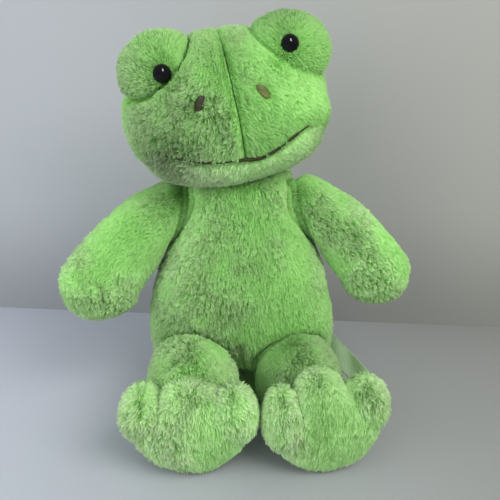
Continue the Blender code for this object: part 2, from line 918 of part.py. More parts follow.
def eye(side, grow):
    """A domed safety eye on its shank."""
    end = washer_top() + WASHER_THICKNESS + EYE_SHANK_PAST_WASHER
    profile = [(0, EYE_DOME + grow)]
    for step in range(1, EYE_DOME_STEPS + 1):
        angle = math.pi / 2 * step / EYE_DOME_STEPS
        profile.append(((EYE_RADIUS + grow) * math.sin(angle), (EYE_DOME + grow) * math.cos(angle)))
    profile += [
        (EYE_RADIUS + grow, -EYE_RIM - grow),
        (EYE_SHANK_RADIUS + grow, -EYE_RIM - grow),
        (EYE_SHANK_RADIUS + grow, -end - grow),
        (0, -end - grow),
    ]
    return turned("eye", profile, SMALL_ROUND, eye_matrix(side))


def washer(side, grow):
    """The washer's disc, still without its hole."""
    top = -washer_top() + grow
    low = -washer_top() - WASHER_THICKNESS - grow
    rim = WASHER_RADIUS + grow
    return turned("washer", [(0, top), (rim, top), (rim, low), (0, low)], SMALL_ROUND, eye_matrix(side))


def smile_region(side, below):
    """What lies below the mouth's height, or above it on one side, in front of the head seam."""
    far = 2 * CRANIUM_HALF_WIDTH
    half_gap = CLEAR / 2
    steps = np.linspace(-far, far, 2 * MOUTH_STEPS + 1)
    if below:
        edge = [(x, smile_height(x) - half_gap) for x in steps]
        edge += [(far, -far), (-far, -far)]
    else:
        beside = [max(x, half_gap) for x in steps[MOUTH_STEPS:]]
        edge = [(side * x, smile_height(x) + half_gap) for x in beside]
        edge += [(side * far, far), (side * half_gap, far)]
    front, back = -far, HEAD_SEAM_BACK - half_gap
    points = [Vector((x, front, z)) for x, z in edge] + [Vector((x, back, z)) for x, z in edge]
    count = len(edge)
    faces = [tuple(range(count)), tuple(range(count, 2 * count))]
    faces += [(k, (k + 1) % count, count + (k + 1) % count, count + k) for k in range(count)]
    made = solid("region", points, faces)
    made.data.transform(head_matrix())
    return made


def build_head(torso, neck_socket, empty):
    """Two face halves, a chin panel, the back of the head and two eye mounds over one filling."""
    head = Bag(head_form)
    mounds = {side: Bag(mound_form(side)) for side in (LEFT, RIGHT)}
    local = copied(head.outer, head_matrix().inverted())
    work = bmesh.new()
    work.from_mesh(local.data)
    tree = BVHTree.FromBMesh(work)
    skin = head.skin()
    filling = copied(head.filling)
    for side, mound in mounds.items():
        cut_by(skin, mound.cavity)
        joined_with(filling, mound.filling)
    for piece in (skin, filling):
        carved(piece, torso.turning_cutter, neck_place(), nods())
        cut_by(piece, neck_socket)
    mouth_groove = mouth_thread(tree, CLEAR)
    cut_by(skin, mouth_groove)
    for side, mound in mounds.items():
        name = SIDE_NAMES[side]
        bag = mound.skin()
        eye_cutter, washer_cutter = eye(side, CLEAR), washer(side, CLEAR)
        cut_by(bag, head.cutter, eye_cutter, washer_cutter)
        cut_by(filling, eye_cutter, washer_cutter)
        pocket = nostril_pad(tree, side, CLEAR)
        cut_by(skin, pocket, eye_cutter, washer_cutter)
        ring = washer(side, 0)
        cut_by(ring, eye_cutter)
        dressed(bag, f"{name}_eye_mound_panel", "light_pile", empty)
        dressed(eye(side, 0), f"{name}_eye", "black_eye", empty)
        dressed(ring, f"{name}_eye_washer", "washer", empty)
        dressed(nostril_pad(tree, side, 0), f"{name}_nostril_embroidery", "brown_thread", empty)
        discard(eye_cutter, washer_cutter, pocket)
    far = 2 * CRANIUM_HALF_WIDTH
    back = block((-far, HEAD_SEAM_BACK + CLEAR / 2, -far), (far, far, far), head_matrix())
    chin = smile_region(LEFT, True)
    dressed(kept_inside(skin, back, "back"), "head_back_panel", "green_pile", empty)
    dressed(kept_inside(skin, chin, "chin"), "chin_panel", "light_pile", empty)
    for side in (LEFT, RIGHT):
        half = smile_region(side, False)
        name = f"{SIDE_NAMES[side]}_face_panel"
        dressed(kept_inside(skin, half, name), name, "green_pile", empty)
        discard(half)
    dressed(mouth_thread(tree, 0), "mouth_embroidery", "brown_thread", empty)
    dressed(filling, "head_filling", "filling", empty)
    work.free()
    discard(local, skin, mouth_groove, back, chin)
    head.discard()
    for mound in mounds.values():
        mound.discard()


def build_arm(side, torso, parent):
    """A front and a back panel over the arm's filling, whose ball sits in the shoulder."""
    name = SIDE_NAMES[side]
    place, axis = shoulder_place(side), shoulder_axis(side)
    empty = joint_empty(f"{name}_shoulder", place, parent)
    arm = Bag(arm_form(side))
    socket = socket_for(place, SHOULDER_BALL)
    motions = swings(axis, (ARM_SWING_BACK, ARM_SWING_FORWARD), ARM_CARVE_STEPS)
    skin, filling = arm.skin(), copied(arm.filling)
    cut_by(skin, socket)
    for piece in (skin, filling):
        carved(piece, torso.turning_cutter, place, motions)
    root = ball(place, SHOULDER_BALL)
    joined_with(filling, root)
    far = 2 * ARM_LENGTH_RIGHT
    seam = Matrix.Translation(place) @ Matrix.Rotation(-side * arm_yaw(side), 4, "Z")
    front = block((-far, -far, -far), (far, -CLEAR / 2, far), seam)
    back = block((-far, CLEAR / 2, -far), (far, far, far), seam)
    dressed(kept_inside(skin, front, "front"), f"{name}_arm_front_panel", "green_pile", empty)
    dressed(kept_inside(skin, back, "back"), f"{name}_arm_back_panel", "green_pile", empty)
    dressed(filling, f"{name}_arm_filling", "filling", empty)
    discard(socket, skin, root, front, back)
    arm.discard()


def build_leg(side, torso, parent):
    """A leg tube with a ball of filling at the hip and at the ankle, and its foot."""
    name = SIDE_NAMES[side]
    hip, ankle = hip_place(side), ankle_place(side)
    axis = Vector((-1, 0, 0))
    leg_empty = joint_empty(f"{name}_hip", hip, parent)
    foot_empty = joint_empty(f"{name}_ankle", ankle, leg_empty)
    height = standing_height(side)
    leg, foot = Bag(leg_form(side)), Bag(foot_form(side, height))
    hip_socket, ankle_socket = socket_for(hip, HIP_BALL), socket_for(ankle, ANKLE_BALL)
    tube, filling = leg.skin(), copied(leg.filling)
    cut_by(tube, hip_socket, ankle_socket)
    hip_motions = swings(axis, (LEG_DOWN, LEG_UP), LEG_CARVE_STEPS)
    # The foot turns on the leg, so the leg is cut by the foot turned the other way about
    ankle_motions = swings(axis, (-ANKLE_FLEX, -ANKLE_POINT), LEG_CARVE_STEPS)
    for piece in (tube, filling):
        carved(piece, torso.turning_cutter, hip, hip_motions)
        carved(piece, foot.turning_cutter, ankle, ankle_motions)
    hip_ball, ankle_ball = ball(hip, HIP_BALL), ball(ankle, ANKLE_BALL)
    joined_with(filling, hip_ball, ankle_ball)
    dressed(tube, f"{name}_leg_tube", "green_pile", leg_empty)
    dressed(filling, f"{name}_leg_filling", "filling", leg_empty)
    far = 2 * SOLE_HALF_WIDTH
    floor = block((-far, -far, -far), (far, far, 0), Matrix.Translation((ankle.x, ankle.y, 0)))
    skin = foot.skin()
    cut_by(skin, ankle_socket, floor)
    seam = foot_matrix(side, height)
    sole = block((-far, -far, -far), (far, -CLEAR / 2, far), seam)
    upper = block((-far, CLEAR / 2, -far), (far, far, far), seam)
    dressed(kept_inside(skin, sole, "sole"), f"{name}_foot_sole_panel", "light_pile", foot_empty)
    dressed(kept_inside(skin, upper, "upper"), f"{name}_foot_upper_panel", "green_pile", foot_empty)
    foot_filling = copied(foot.filling)
    cut_by(foot_filling, ankle_socket)
    dressed(foot_filling, f"{name}_foot_filling", "filling", foot_empty)
    discard(hip_socket, ankle_socket, hip_ball, ankle_ball, floor, skin, sole, upper)
    leg.discard()
    foot.discard()


def settle(root):
    """Moves the frog so that the middle of its base is at the origin."""
    bpy.context.view_layer.update()
    corners = [
        piece.matrix_world @ point.co
        for piece in root.children_recursive
        if piece.type == "MESH"
        for point in piece.data.vertices
    ]
    lows = [min(c[k] for c in corners) for k in range(3)]
    highs = [max(c[k] for c in corners) for k in range(3)]
    root.location = (-(lows[0] + highs[0]) / 2, -(lows[1] + highs[1]) / 2, -lows[2])


def main():
    clear_scene()
    root = joint_empty("frog", Vector((0, 0, 0)), None)
    torso = Bag(torso_form)
    sockets = [socket_for(neck_place(), NECK_BALL, NECK_GRID)]
    for side in (LEFT, RIGHT):
        sockets.append(socket_for(shoulder_place(side), SHOULDER_BALL))
        sockets.append(socket_for(hip_place(side), HIP_BALL))
    build_torso(torso, sockets, root)
    neck = joint_empty("neck_turn", neck_place(), root)
    dressed(ball(neck_place(), NECK_BALL, NECK_GRID), "neck_filling", "filling", neck)
    head = joint_empty("head_tilt", neck_place(), neck, head_turn())
    build_head(torso, sockets[0], head)
    for side in (LEFT, RIGHT):
        build_arm(side, torso, root)
        build_leg(side, torso, root)
    dressed(label_slab(0), "satin_label", "satin", root)
    discard(*sockets)
    torso.discard()
    settle(root)


main()
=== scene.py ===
"""The looks of a seated plush frog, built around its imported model.

Every sewn bag (torso, head, arm, leg, foot) is a stuffed form a little inside its panel's pile
tips. Strands of pile grow on the forms, panel by panel, by Geometry Nodes. The eyes, the
embroidery, the label and the studio follow. Metres, +Z up; the frog faces -Y, its left is +X.
"""

import json
import logging
import math
from collections.abc import Callable
from dataclasses import dataclass, field
from enum import Enum

import bmesh
import bpy
import numpy as np
from mathutils import Matrix, Vector, kdtree, noise


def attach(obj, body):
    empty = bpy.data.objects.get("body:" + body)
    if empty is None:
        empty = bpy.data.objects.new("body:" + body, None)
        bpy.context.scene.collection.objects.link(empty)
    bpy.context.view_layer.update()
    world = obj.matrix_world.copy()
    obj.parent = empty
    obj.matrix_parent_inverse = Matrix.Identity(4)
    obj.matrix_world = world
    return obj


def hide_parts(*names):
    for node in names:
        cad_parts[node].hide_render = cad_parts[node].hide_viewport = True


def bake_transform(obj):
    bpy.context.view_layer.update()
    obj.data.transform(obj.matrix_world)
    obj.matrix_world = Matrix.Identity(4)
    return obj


logging.basicConfig(level=logging.INFO, format="%(message)s")
log = logging.getLogger("frog")

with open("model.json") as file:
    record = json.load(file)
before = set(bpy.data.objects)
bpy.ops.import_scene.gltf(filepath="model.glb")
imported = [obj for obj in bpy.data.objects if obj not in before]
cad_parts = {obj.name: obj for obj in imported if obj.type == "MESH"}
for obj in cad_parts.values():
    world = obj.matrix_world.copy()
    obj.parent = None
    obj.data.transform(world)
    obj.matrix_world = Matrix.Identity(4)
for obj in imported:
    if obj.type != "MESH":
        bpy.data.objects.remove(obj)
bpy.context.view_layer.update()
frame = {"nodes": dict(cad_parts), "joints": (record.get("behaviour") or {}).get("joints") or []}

Colour = tuple[float, float, float]
Array = np.ndarray

UP = Vector((0, 0, 1))
INSET = 0.0042


class Side(Enum):
    """The frog's own left and right."""

    LEFT = 1
    RIGHT = -1

    @property
    def label(self) -> str:
        """The word that starts the names of this side's pieces."""
        return self.name.lower()


class Panel(Enum):
    """The cuts of fabric, as numbers kept on the faces of a form."""

    FRONT_LEFT = 0
    FRONT_RIGHT = 1
    BACK_LEFT = 2
    BACK_RIGHT = 3
    CHIN = 4
    MOUND_LEFT = 5
    MOUND_RIGHT = 6


def joint_place(name: str) -> Vector:
    """Where a joint of the frame turns."""
    return Vector(next(j["pos_m"] for j in frame["joints"] if j["name"] == name))


def root_place() -> Vector:
    """The middle of the torso's base, on the floor."""
    neck = joint_place("head_turn")
    return Vector((neck.x, neck.y, 0))


# Small mathematics shared by the forms


def smooth_rows(rows: tuple, where: Array) -> Array:
    """Reads a table of shares smoothly.

    Args:
        rows: the table, its first column rising from 0 to 1.
        where: the first-column values to read at.

    Returns:
        The other columns at those values.
    """
    table = np.array(rows, float)
    at, values = table[:, 0], table[:, 1:]
    slopes = np.gradient(values, at, axis=0)
    low = np.clip(np.searchsorted(at, where) - 1, 0, len(at) - 2)
    step = (at[low + 1] - at[low])[:, None]
    t = ((where - at[low]) / step[:, 0])[:, None]
    start = (1 + 2 * t) * (1 - t) ** 2 * values[low] + t * (1 - t) ** 2 * step * slopes[low]
    end = t**2 * (3 - 2 * t) * values[low + 1] - t**2 * (1 - t) * step * slopes[low + 1]
    return start + end


def rounded_off(where: Array, share: float) -> Array:
    """1 along a form, falling as a quarter circle over the last share of it."""
    past = np.clip((where - (1 - share)) / share, 0, 1)
    return np.sqrt(1 - past**2)


def bump(distance: Array, width: float) -> Array:
    """A soft bell, 1 at no distance."""
    return np.exp(-((distance / width) ** 2))


def ramp(value: Array, low: float, high: float) -> Array:
    """0 below low, 1 above high, and smooth between them."""
    t = np.clip((value - low) / (high - low), 0, 1)
    return t * t * (3 - 2 * t)


def moved(points: Array, matrix: Matrix) -> Array:
    """The points taken through a matrix."""
    m = np.array(matrix)
    return points @ m[:3, :3].T + m[:3, 3]


def turned(ways: Array, matrix: Matrix) -> Array:
    """The directions taken through a matrix."""
    return ways @ np.array(matrix)[:3, :3].T


def to_line(points: Array, line: Array) -> Array:
    """The distance from each point to a line through several places."""
    best = np.full(len(points), np.inf)
    for start, end in zip(line[:-1], line[1:]):
        way = end - start
        t = np.clip((points - start) @ way / (way @ way), 0, 1)
        best = np.minimum(best, np.linalg.norm(points - start - t[:, None] * way, axis=1))
    return best


def from_border(points: Array, faces: list[tuple], marked: Array) -> tuple[Array, Array]:
    """The way from the border of a marked region of a surface.

    Args:
        points: the surface's points.
        faces: its faces.
        marked: whether each point is in the region.

    Returns:
        The distance of each point from the border, and the direction away from it.
    """
    corners = np.array(faces)
    pairs = np.vstack([corners[:, [0, 1]], corners[:, [1, 2]], corners[:, [2, 0]]])
    across = pairs[marked[pairs[:, 0]] != marked[pairs[:, 1]]]
    border = kdtree.KDTree(len(across))
    for k, place in enumerate((points[across[:, 0]] + points[across[:, 1]]) / 2):
        border.insert(place, k)
    border.balance()
    nearest = [border.find(point) for point in points]
    away = points - np.array([tuple(found[0]) for found in nearest])
    far = np.array([found[2] for found in nearest])
    return far, away / np.maximum(far, 1e-5)[:, None]


def cloudy(points: Array, size: float, seed: float) -> Array:
    """Soft noise between about -1 and 1, with clouds of this size."""
    shifted = points / size + seed
    return np.array([noise.noise(Vector(p)) for p in shifted])


def reach_of(ways: Array, place: Array, halves: Array) -> Array:
    """How far out an ellipsoid reaches along each direction.

    Args:
        ways: unit directions from the middle of the form.
        place: the ellipsoid's middle.
        halves: its three half-sizes.

    Returns:
        The distance along each direction, falling off beside the ellipsoid.
    """
    a = (ways**2 / halves**2).sum(1)
    b = (ways * place / halves**2).sum(1)
    inside = b**2 / a + 1 - (place**2 / halves**2).sum()
    reach = np.maximum(b + np.sqrt(a * np.maximum(inside, 0)), 0) / a
    return reach * np.exp(2 * np.minimum(inside, 0))


def blended(reaches: list[Array], sharpness: float) -> Array:
    """The reach of several lobes, softly joined."""
    return sum(reach**sharpness for reach in reaches) ** (1 / sharpness)


def ball_ways(levels: int) -> tuple[Array, list[tuple]]:
    """Evenly spread unit directions, and the triangles between them."""
    work = bmesh.new()
    bmesh.ops.create_icosphere(work, subdivisions=levels, radius=1)
    ways = np.array([tuple(v.co.normalized()) for v in work.verts])
    faces = [tuple(v.index for v in f.verts) for f in work.faces]
    work.free()
    return ways, faces


def tube_faces(rings: int, segments: int) -> list[tuple]:
    """The faces of a tube of rings, closed by a point at each end."""
    last, end = 1 + (rings - 1) * segments, 1 + rings * segments
    faces = []
    for k in range(segments):
        after = (k + 1) % segments
        faces.append((0, 1 + after, 1 + k))
        faces.append((last + k, last + after, end))
        for row in range(rings - 1):
            a, b = 1 + row * segments + k, 1 + row * segments + after
            faces.append((a, b, b + segments, a + segments))
    return faces


# Node trees


class Nodes:
    """A node tree under construction, for geometry or for a material."""

    def __init__(self, tree: bpy.types.NodeTree) -> None:
        self.tree = tree

    def add(self, kind: str, inputs: dict | None = None, **settings: object) -> bpy.types.Node:
        """Adds a node.

        Args:
            kind: the node's type.
            inputs: what goes into its sockets, by name or number: a socket or a plain value.
            settings: the node's own options.

        Returns:
            The node.
        """
        made = self.tree.nodes.new(kind)
        for name, value in settings.items():
            setattr(made, name, value)
        for key, value in (inputs or {}).items():
            self.put(made.inputs[key], value)
        return made

    def put(self, socket: bpy.types.NodeSocket, value: object) -> None:
        """Links a socket into another, or sets it to a plain value."""
        if isinstance(value, bpy.types.NodeSocket):
            self.tree.links.new(value, socket)
        else:
            socket.default_value = value

    def maths(self, operation: str, a: object, b: object = 0.0, c: object = 0.0) -> bpy.types.NodeSocket:
        """The result of a sum on numbers."""
        inputs = {0: a, 1: b, 2: c}
        return self.add("ShaderNodeMath", inputs, operation=operation).outputs[0]

    def vectors(self, operation: str, a: object, b: object = None) -> bpy.types.NodeSocket:
        """The result of a sum on vectors; a plain number may scale one."""
        made = self.add("ShaderNodeVectorMath", {0: a}, operation=operation)
        if b is not None:
            self.put(made.inputs["Scale" if operation == "SCALE" else 1], b)
        return made.outputs[0]

    def ranged(self, value: object, low: float, high: float, to: tuple[float, float]) -> bpy.types.NodeSocket:
        """A value taken smoothly from one range to another."""
        inputs = {"Value": value, "From Min": low, "From Max": high, "To Min": to[0], "To Max": to[1]}
        made = self.add("ShaderNodeMapRange", inputs, interpolation_type="SMOOTHSTEP")
        return made.outputs["Result"]

    def mixed(self, share: object, first: object, second: object, way: str = "MIX") -> bpy.types.NodeSocket:
        """Two colours mixed."""
        made = self.add("ShaderNodeMix", data_type="RGBA", blend_type=way)
        for socket, value in zip((made.inputs[0], made.inputs[6], made.inputs[7]), (share, first, second)):
            self.put(socket, value)
        return made.outputs[2]


class Growth(Nodes):
    """A Geometry Nodes tree with named inputs, and the way to grow a mesh by it."""

    KINDS = {"Geometry": "NodeSocketGeometry", "Object": "NodeSocketObject", "Material": "NodeSocketMaterial"}

    def __init__(self, name: str, inputs: dict[str, object]) -> None:
        super().__init__(bpy.data.node_groups.new(name, "GeometryNodeTree"))
        self.identifiers: dict[str, str] = {}
        sockets = self.tree.interface
        for label, value in {"Geometry": None, **inputs}.items():
            kind = self.KINDS.get(label) or ("NodeSocketInt" if isinstance(value, int) else "NodeSocketFloat")
            made = sockets.new_socket(label, in_out="INPUT", socket_type=kind)
            if value is not None:
                made.default_value = value
            self.identifiers[label] = made.identifier
        sockets.new_socket("Geometry", in_out="OUTPUT", socket_type="NodeSocketGeometry")
        self.start = self.add("NodeGroupInput").outputs

    def finish(self, geometry: bpy.types.NodeSocket) -> None:
        """Realizes the copies, gives them their material and ends the tree."""
        real = self.add("GeometryNodeRealizeInstances", {"Geometry": geometry})
        last = self.settled(real.outputs[0])
        dressed = self.add("GeometryNodeSetMaterial", {"Geometry": last, "Material": self.start["Material"]})
        self.add("NodeGroupOutput", {"Geometry": dressed.outputs[0]})

    def settled(self, geometry: bpy.types.NodeSocket) -> bpy.types.NodeSocket:
        """What a tree still does to the real mesh; nothing here."""
        return geometry

    def grown(self, name: str, base: bpy.types.Mesh, values: dict[str, object]) -> bpy.types.Object:
        """Grows a plain mesh from a base.

        Args:
            name: the name of the new piece.
            base: the mesh that the tree starts from.
            values: the tree's inputs that differ from their defaults.

        Returns:
            The piece, with no modifier left on it.
        """
        seed_bed = bpy.data.objects.new(f"{name}_bed", base)
        bpy.context.scene.collection.objects.link(seed_bed)
        change = seed_bed.modifiers.new("growth", "NODES")
        change.node_group = self.tree
        for label, value in values.items():
            change[self.identifiers[label]] = value
        bpy.context.view_layer.update()
        graph = bpy.context.evaluated_depsgraph_get()
        mesh = bpy.data.meshes.new_from_object(seed_bed.evaluated_get(graph))
        seed_bed.modifiers.remove(change)
        bpy.data.objects.remove(seed_bed, do_unlink=True)
        mesh.name = name
        made = bpy.data.objects.new(name, mesh)
        bpy.context.scene.collection.objects.link(made)
        return made


# Finishes


@dataclass(frozen=True)
class Finish:
    """A surface: its slot in the record, colour and roughness."""

    name: str
    slot: str
    colour: Colour
    roughness: float

    def material(self) -> bpy.types.Material:
        """The material, made once."""
        made = bpy.data.materials.get(self.name)
        if made:
            return made
        made = bpy.data.materials.new(self.name)
        made.use_nodes = True
        nodes = Nodes(made.node_tree)
        shader = made.node_tree.nodes["Principled BSDF"]
        shader.inputs["Base Color"].default_value = (*self.colour, 1)
        shader.inputs["Roughness"].default_value = self.roughness
        self.detail(nodes, shader)
        return made

    def detail(self, nodes: Nodes, shader: bpy.types.Node) -> None:
        """Adds the surface's own pattern; each finish has its own."""

    def dress(self, piece: bpy.types.Object) -> None:
        """Gives a piece this finish."""
        piece.data.materials.clear()
        piece.data.materials.append(self.material())


@dataclass(frozen=True)
class PileFinish(Finish):
    """Pile fabric, from the dark roots of its strands to their pale tips."""

    root: Colour = (0.155, 0.39, 0.076)
    tip: Colour = (0.51, 0.73, 0.35)

    def detail(self, nodes: Nodes, shader: bpy.types.Node) -> None:
        """Colours each strand from root to tip, and each patch by how ruffled it is, with painted sheen where
        it lies smooth and painted shade where it is ruffled, and by the painted light and shade of the form's
        light attribute.
        """
        along = nodes.add("ShaderNodeAttribute", attribute_name="tip").outputs["Fac"]
        tone = nodes.add("ShaderNodeAttribute", attribute_name="tone").outputs["Fac"]
        ruffle = nodes.add("ShaderNodeAttribute", attribute_name="ruffle").outputs["Fac"]
        light = nodes.add("ShaderNodeAttribute", attribute_name="light").outputs["Fac"]
        lower = nodes.mixed(nodes.ranged(along, 0.05, 0.60, (0, 1)), (*self.root, 1), (*self.colour, 1))
        frost = nodes.ranged(ruffle, 0.1, 0.9, (0.25, 0.95))
        high = nodes.maths("MULTIPLY", nodes.ranged(along, 0.35, 1.0, (0, 1)), frost)
        strand = nodes.mixed(high, lower, (*self.tip, 1))
        place = nodes.add("ShaderNodeTexCoord").outputs["Object"]
        cloud = nodes.add(
            "ShaderNodeTexNoise", {"Vector": place, "Scale": 28.0, "Detail": 3.0}
        ).outputs["Fac"]
        swing = nodes.maths(
            "MULTIPLY", nodes.maths("SUBTRACT", tone, 0.5), nodes.ranged(ruffle, 0, 1, (0.16, 0.50))
        )
        # Painted sheen and shade: patches brushed smooth are painted up to 12% lighter as sheen, ruffled ones
        # up to 16% darker as shade in their gaps, around each strand's random tone
        tone_sheen_and_shade = nodes.maths("MULTIPLY_ADD", swing, 1.0, nodes.ranged(ruffle, 0.2, 1.0, (1.12, 0.84)))
        shade = nodes.maths("ADD", tone_sheen_and_shade, nodes.ranged(cloud, 0.3, 0.7, (-0.07, 0.07)))
        # The form's light attribute: painted light and shade, patch by patch
        shade = nodes.maths("MULTIPLY", shade, light)
        lit = nodes.add("ShaderNodeVectorMath", {0: strand, "Scale": shade}, operation="SCALE").outputs[0]
        nodes.put(shader.inputs["Base Color"], lit)
        shader.inputs["Sheen Weight"].default_value = 0.25
        shader.inputs["Sheen Roughness"].default_value = 0.4
        shader.inputs["Specular IOR Level"].default_value = 0.15


@dataclass(frozen=True)
class BackingFinish(Finish):
    """The knitted backing between the strands, dark with the shade of the pile."""

    def detail(self, nodes: Nodes, shader: bpy.types.Node) -> None:
        """Adds the small loops of the knit."""
        place = nodes.add("ShaderNodeTexCoord").outputs["Object"]
        loops = nodes.add("ShaderNodeTexVoronoi", {"Vector": place, "Scale": 900.0}).outputs["Distance"]
        dark = tuple(0.6 * part for part in self.colour)
        share = nodes.ranged(loops, 0.1, 0.7, (0, 1))
        nodes.put(shader.inputs["Base Color"], nodes.mixed(share, (*self.colour, 1), (*dark, 1)))
        raised = nodes.add("ShaderNodeBump", {"Height": loops, "Strength": 0.4, "Distance": 0.0004})
        nodes.put(shader.inputs["Normal"], raised.outputs[0])


@dataclass(frozen=True)
class GlossFinish(Finish):
    """Polished plastic of the eyes, faintly dusty."""

    def detail(self, nodes: Nodes, shader: bpy.types.Node) -> None:
        """Adds handling marks in the gloss."""
        place = nodes.add("ShaderNodeTexCoord").outputs["Object"]
        dust = nodes.add(
            "ShaderNodeTexNoise", {"Vector": place, "Scale": 600.0, "Detail": 4.0}
        ).outputs["Fac"]
        nodes.put(
            shader.inputs["Roughness"], nodes.ranged(dust, 0.4, 0.8, (self.roughness, self.roughness + 0.08))
        )
        shader.inputs["Specular IOR Level"].default_value = 0.16


@dataclass(frozen=True)
class ThreadFinish(Finish):
    """Embroidery thread, its filaments running along the stitch."""

    def detail(self, nodes: Nodes, shader: bpy.types.Node) -> None:
        """Adds fine filaments and a little change of tone from stitch to stitch."""
        place = nodes.add("ShaderNodeTexCoord").outputs["Object"]
        tone = nodes.add("ShaderNodeAttribute", attribute_name="tone").outputs["Fac"]
        fine = nodes.add(
            "ShaderNodeTexNoise", {"Vector": place, "Scale": 2600.0, "Detail": 2.0}
        ).outputs["Fac"]
        shade = nodes.maths(
            "MULTIPLY", nodes.ranged(tone, 0, 1, (0.7, 1.3)), nodes.ranged(fine, 0.3, 0.7, (0.75, 1.2))
        )
        lit = nodes.add(
            "ShaderNodeVectorMath", {0: self.colour, "Scale": shade}, operation="SCALE"
        ).outputs[0]
        nodes.put(shader.inputs["Base Color"], lit)
        shader.inputs["Specular IOR Level"].default_value = 0.3


@dataclass(frozen=True)
class SatinFinish(Finish):
    """Woven satin ribbon, with fine ribs across it."""

    def detail(self, nodes: Nodes, shader: bpy.types.Node) -> None:
        """Adds the weave along the ribbon's own map, and its silky sheen."""
        flat = nodes.add("ShaderNodeUVMap", uv_map="ribbon").outputs[0]
        ribs = nodes.add(
            "ShaderNodeTexWave", {"Vector": flat, "Scale": 24.0, "Distortion": 0.3}, bands_direction="Y"
        )
        warp = nodes.add("ShaderNodeTexNoise", {"Vector": flat, "Scale": 9.0, "Detail": 3.0}).outputs["Fac"]
        pale = tuple(min(1.0, 1.25 * part) for part in self.colour)
        share = nodes.maths("MULTIPLY", ribs.outputs["Fac"], nodes.ranged(warp, 0.3, 0.7, (0.3, 0.8)))
        nodes.put(shader.inputs["Base Color"], nodes.mixed(share, (*self.colour, 1), (*pale, 1)))
        raised = nodes.add(
            "ShaderNodeBump", {"Height": ribs.outputs["Fac"], "Strength": 0.25, "Distance": 0.0002}
        )
        nodes.put(shader.inputs["Normal"], raised.outputs[0])
        shader.inputs["Sheen Weight"].default_value = 0.3
        shader.inputs["Anisotropic"].default_value = 0.5


@dataclass(frozen=True)
class StudioFinish(Finish):
    """A plain painted or laminated surface, faintly uneven, with painted shade towards one side and, on the
    wall, towards the bottom.
    """

    far_tint: Colour = (1.0, 1.0, 1.0)
    dimmed: float = 0.0
    one_sided: bool = False

    def detail(self, nodes: Nodes, shader: bpy.types.Node) -> None:
        """Adds a faint unevenness and the painted shade, and leaves a one-sided surface clear from behind."""
        if self.one_sided:
            behind = nodes.add("ShaderNodeNewGeometry").outputs["Backfacing"]
            nodes.put(shader.inputs["Alpha"], nodes.maths("SUBTRACT", 1.0, behind))
        place = nodes.add("ShaderNodeTexCoord").outputs["Object"]
        soft = nodes.add("ShaderNodeTexNoise", {"Vector": place, "Scale": 3.0, "Detail": 2.0}).outputs["Fac"]
        darker = tuple(0.96 * part for part in self.colour)
        even = nodes.mixed(soft, (*self.colour, 1), (*darker, 1))
        across, _, up = nodes.add("ShaderNodeSeparateXYZ", {0: place}).outputs
        # Painted shade: darker and yellower towards +X
        aside = nodes.mixed(nodes.ranged(across, -0.35, 0.35, (0, 1)), (1, 1, 1, 1), (*self.far_tint, 1))
        tinted = nodes.mixed(1.0, even, aside, "MULTIPLY")
        # Painted shade: the wall darker towards the bottom
        rise = nodes.ranged(up, 0.0, 0.16, (1.0 - self.dimmed, 1.0))
        lit = nodes.add("ShaderNodeVectorMath", {0: tinted, "Scale": rise}, operation="SCALE").outputs[0]
        nodes.put(shader.inputs["Base Color"], lit)


GREEN = (0.272, 0.605, 0.148)
GREEN_PILE = PileFinish("green pile", "green_pile", GREEN, 0.9)
LIGHT_PILE = PileFinish(
    "light pile", "light_pile", (0.37, 0.70, 0.22), 0.9, (0.23, 0.49, 0.125), (0.64, 0.84, 0.46)
)
# The chin's light pile, painted far lighter than LIGHT_PILE at root, middle and tip, as painted light on the
# underside of the head
CHIN_PILE_PAINTED_LIGHTER = PileFinish(
    "chin pile", "light_pile", (0.54, 0.92, 0.35), 0.9, (0.36, 0.68, 0.21), (0.78, 0.98, 0.56)
)
BACKING = BackingFinish("knitted backing", "green_pile", (0.10, 0.28, 0.050), 1.0)
BLACK_EYE = GlossFinish("black eye", "black_eye", (0.004, 0.004, 0.005), 0.07)
WASHER = StudioFinish("washer plastic", "eye_washer", (0.80, 0.80, 0.78), 0.4)
DARK_THREAD = ThreadFinish("dark thread", "brown_thread", (0.034, 0.032, 0.009), 0.6)
# The same dark thread painted lighter and olive, as if lit, for the frog's left nostril
PAINTED_LIT_THREAD = ThreadFinish("olive thread", "brown_thread", (0.150, 0.170, 0.036), 0.55)
HEM_THREAD = ThreadFinish("hem thread", "satin", (0.27, 0.43, 0.19), 0.5)
SATIN = SatinFinish("satin ribbon", "satin", (0.25, 0.40, 0.19), 0.38)
FLOOR = StudioFinish("studio floor", "floor", (0.63, 0.66, 0.74), 0.55, far_tint=(0.49, 0.48, 0.40))
WALL = StudioFinish("studio wall", "wall", (0.46, 0.48, 0.50), 0.9, far_tint=(0.84, 0.81, 0.71), dimmed=0.30,
                    one_sided=True)


# The pile


@dataclass(frozen=True)
class Nap:
    """How the pile of one panel grows."""

    density: float = 2.3e6
    length: float = 0.0062
    width: float = 0.00066
    tuft: float = 0.0032
    tufting: float = 0.7
    swirl: float = 0.7
    flyaway: float = 0.30
    finish: PileFinish = GREEN_PILE


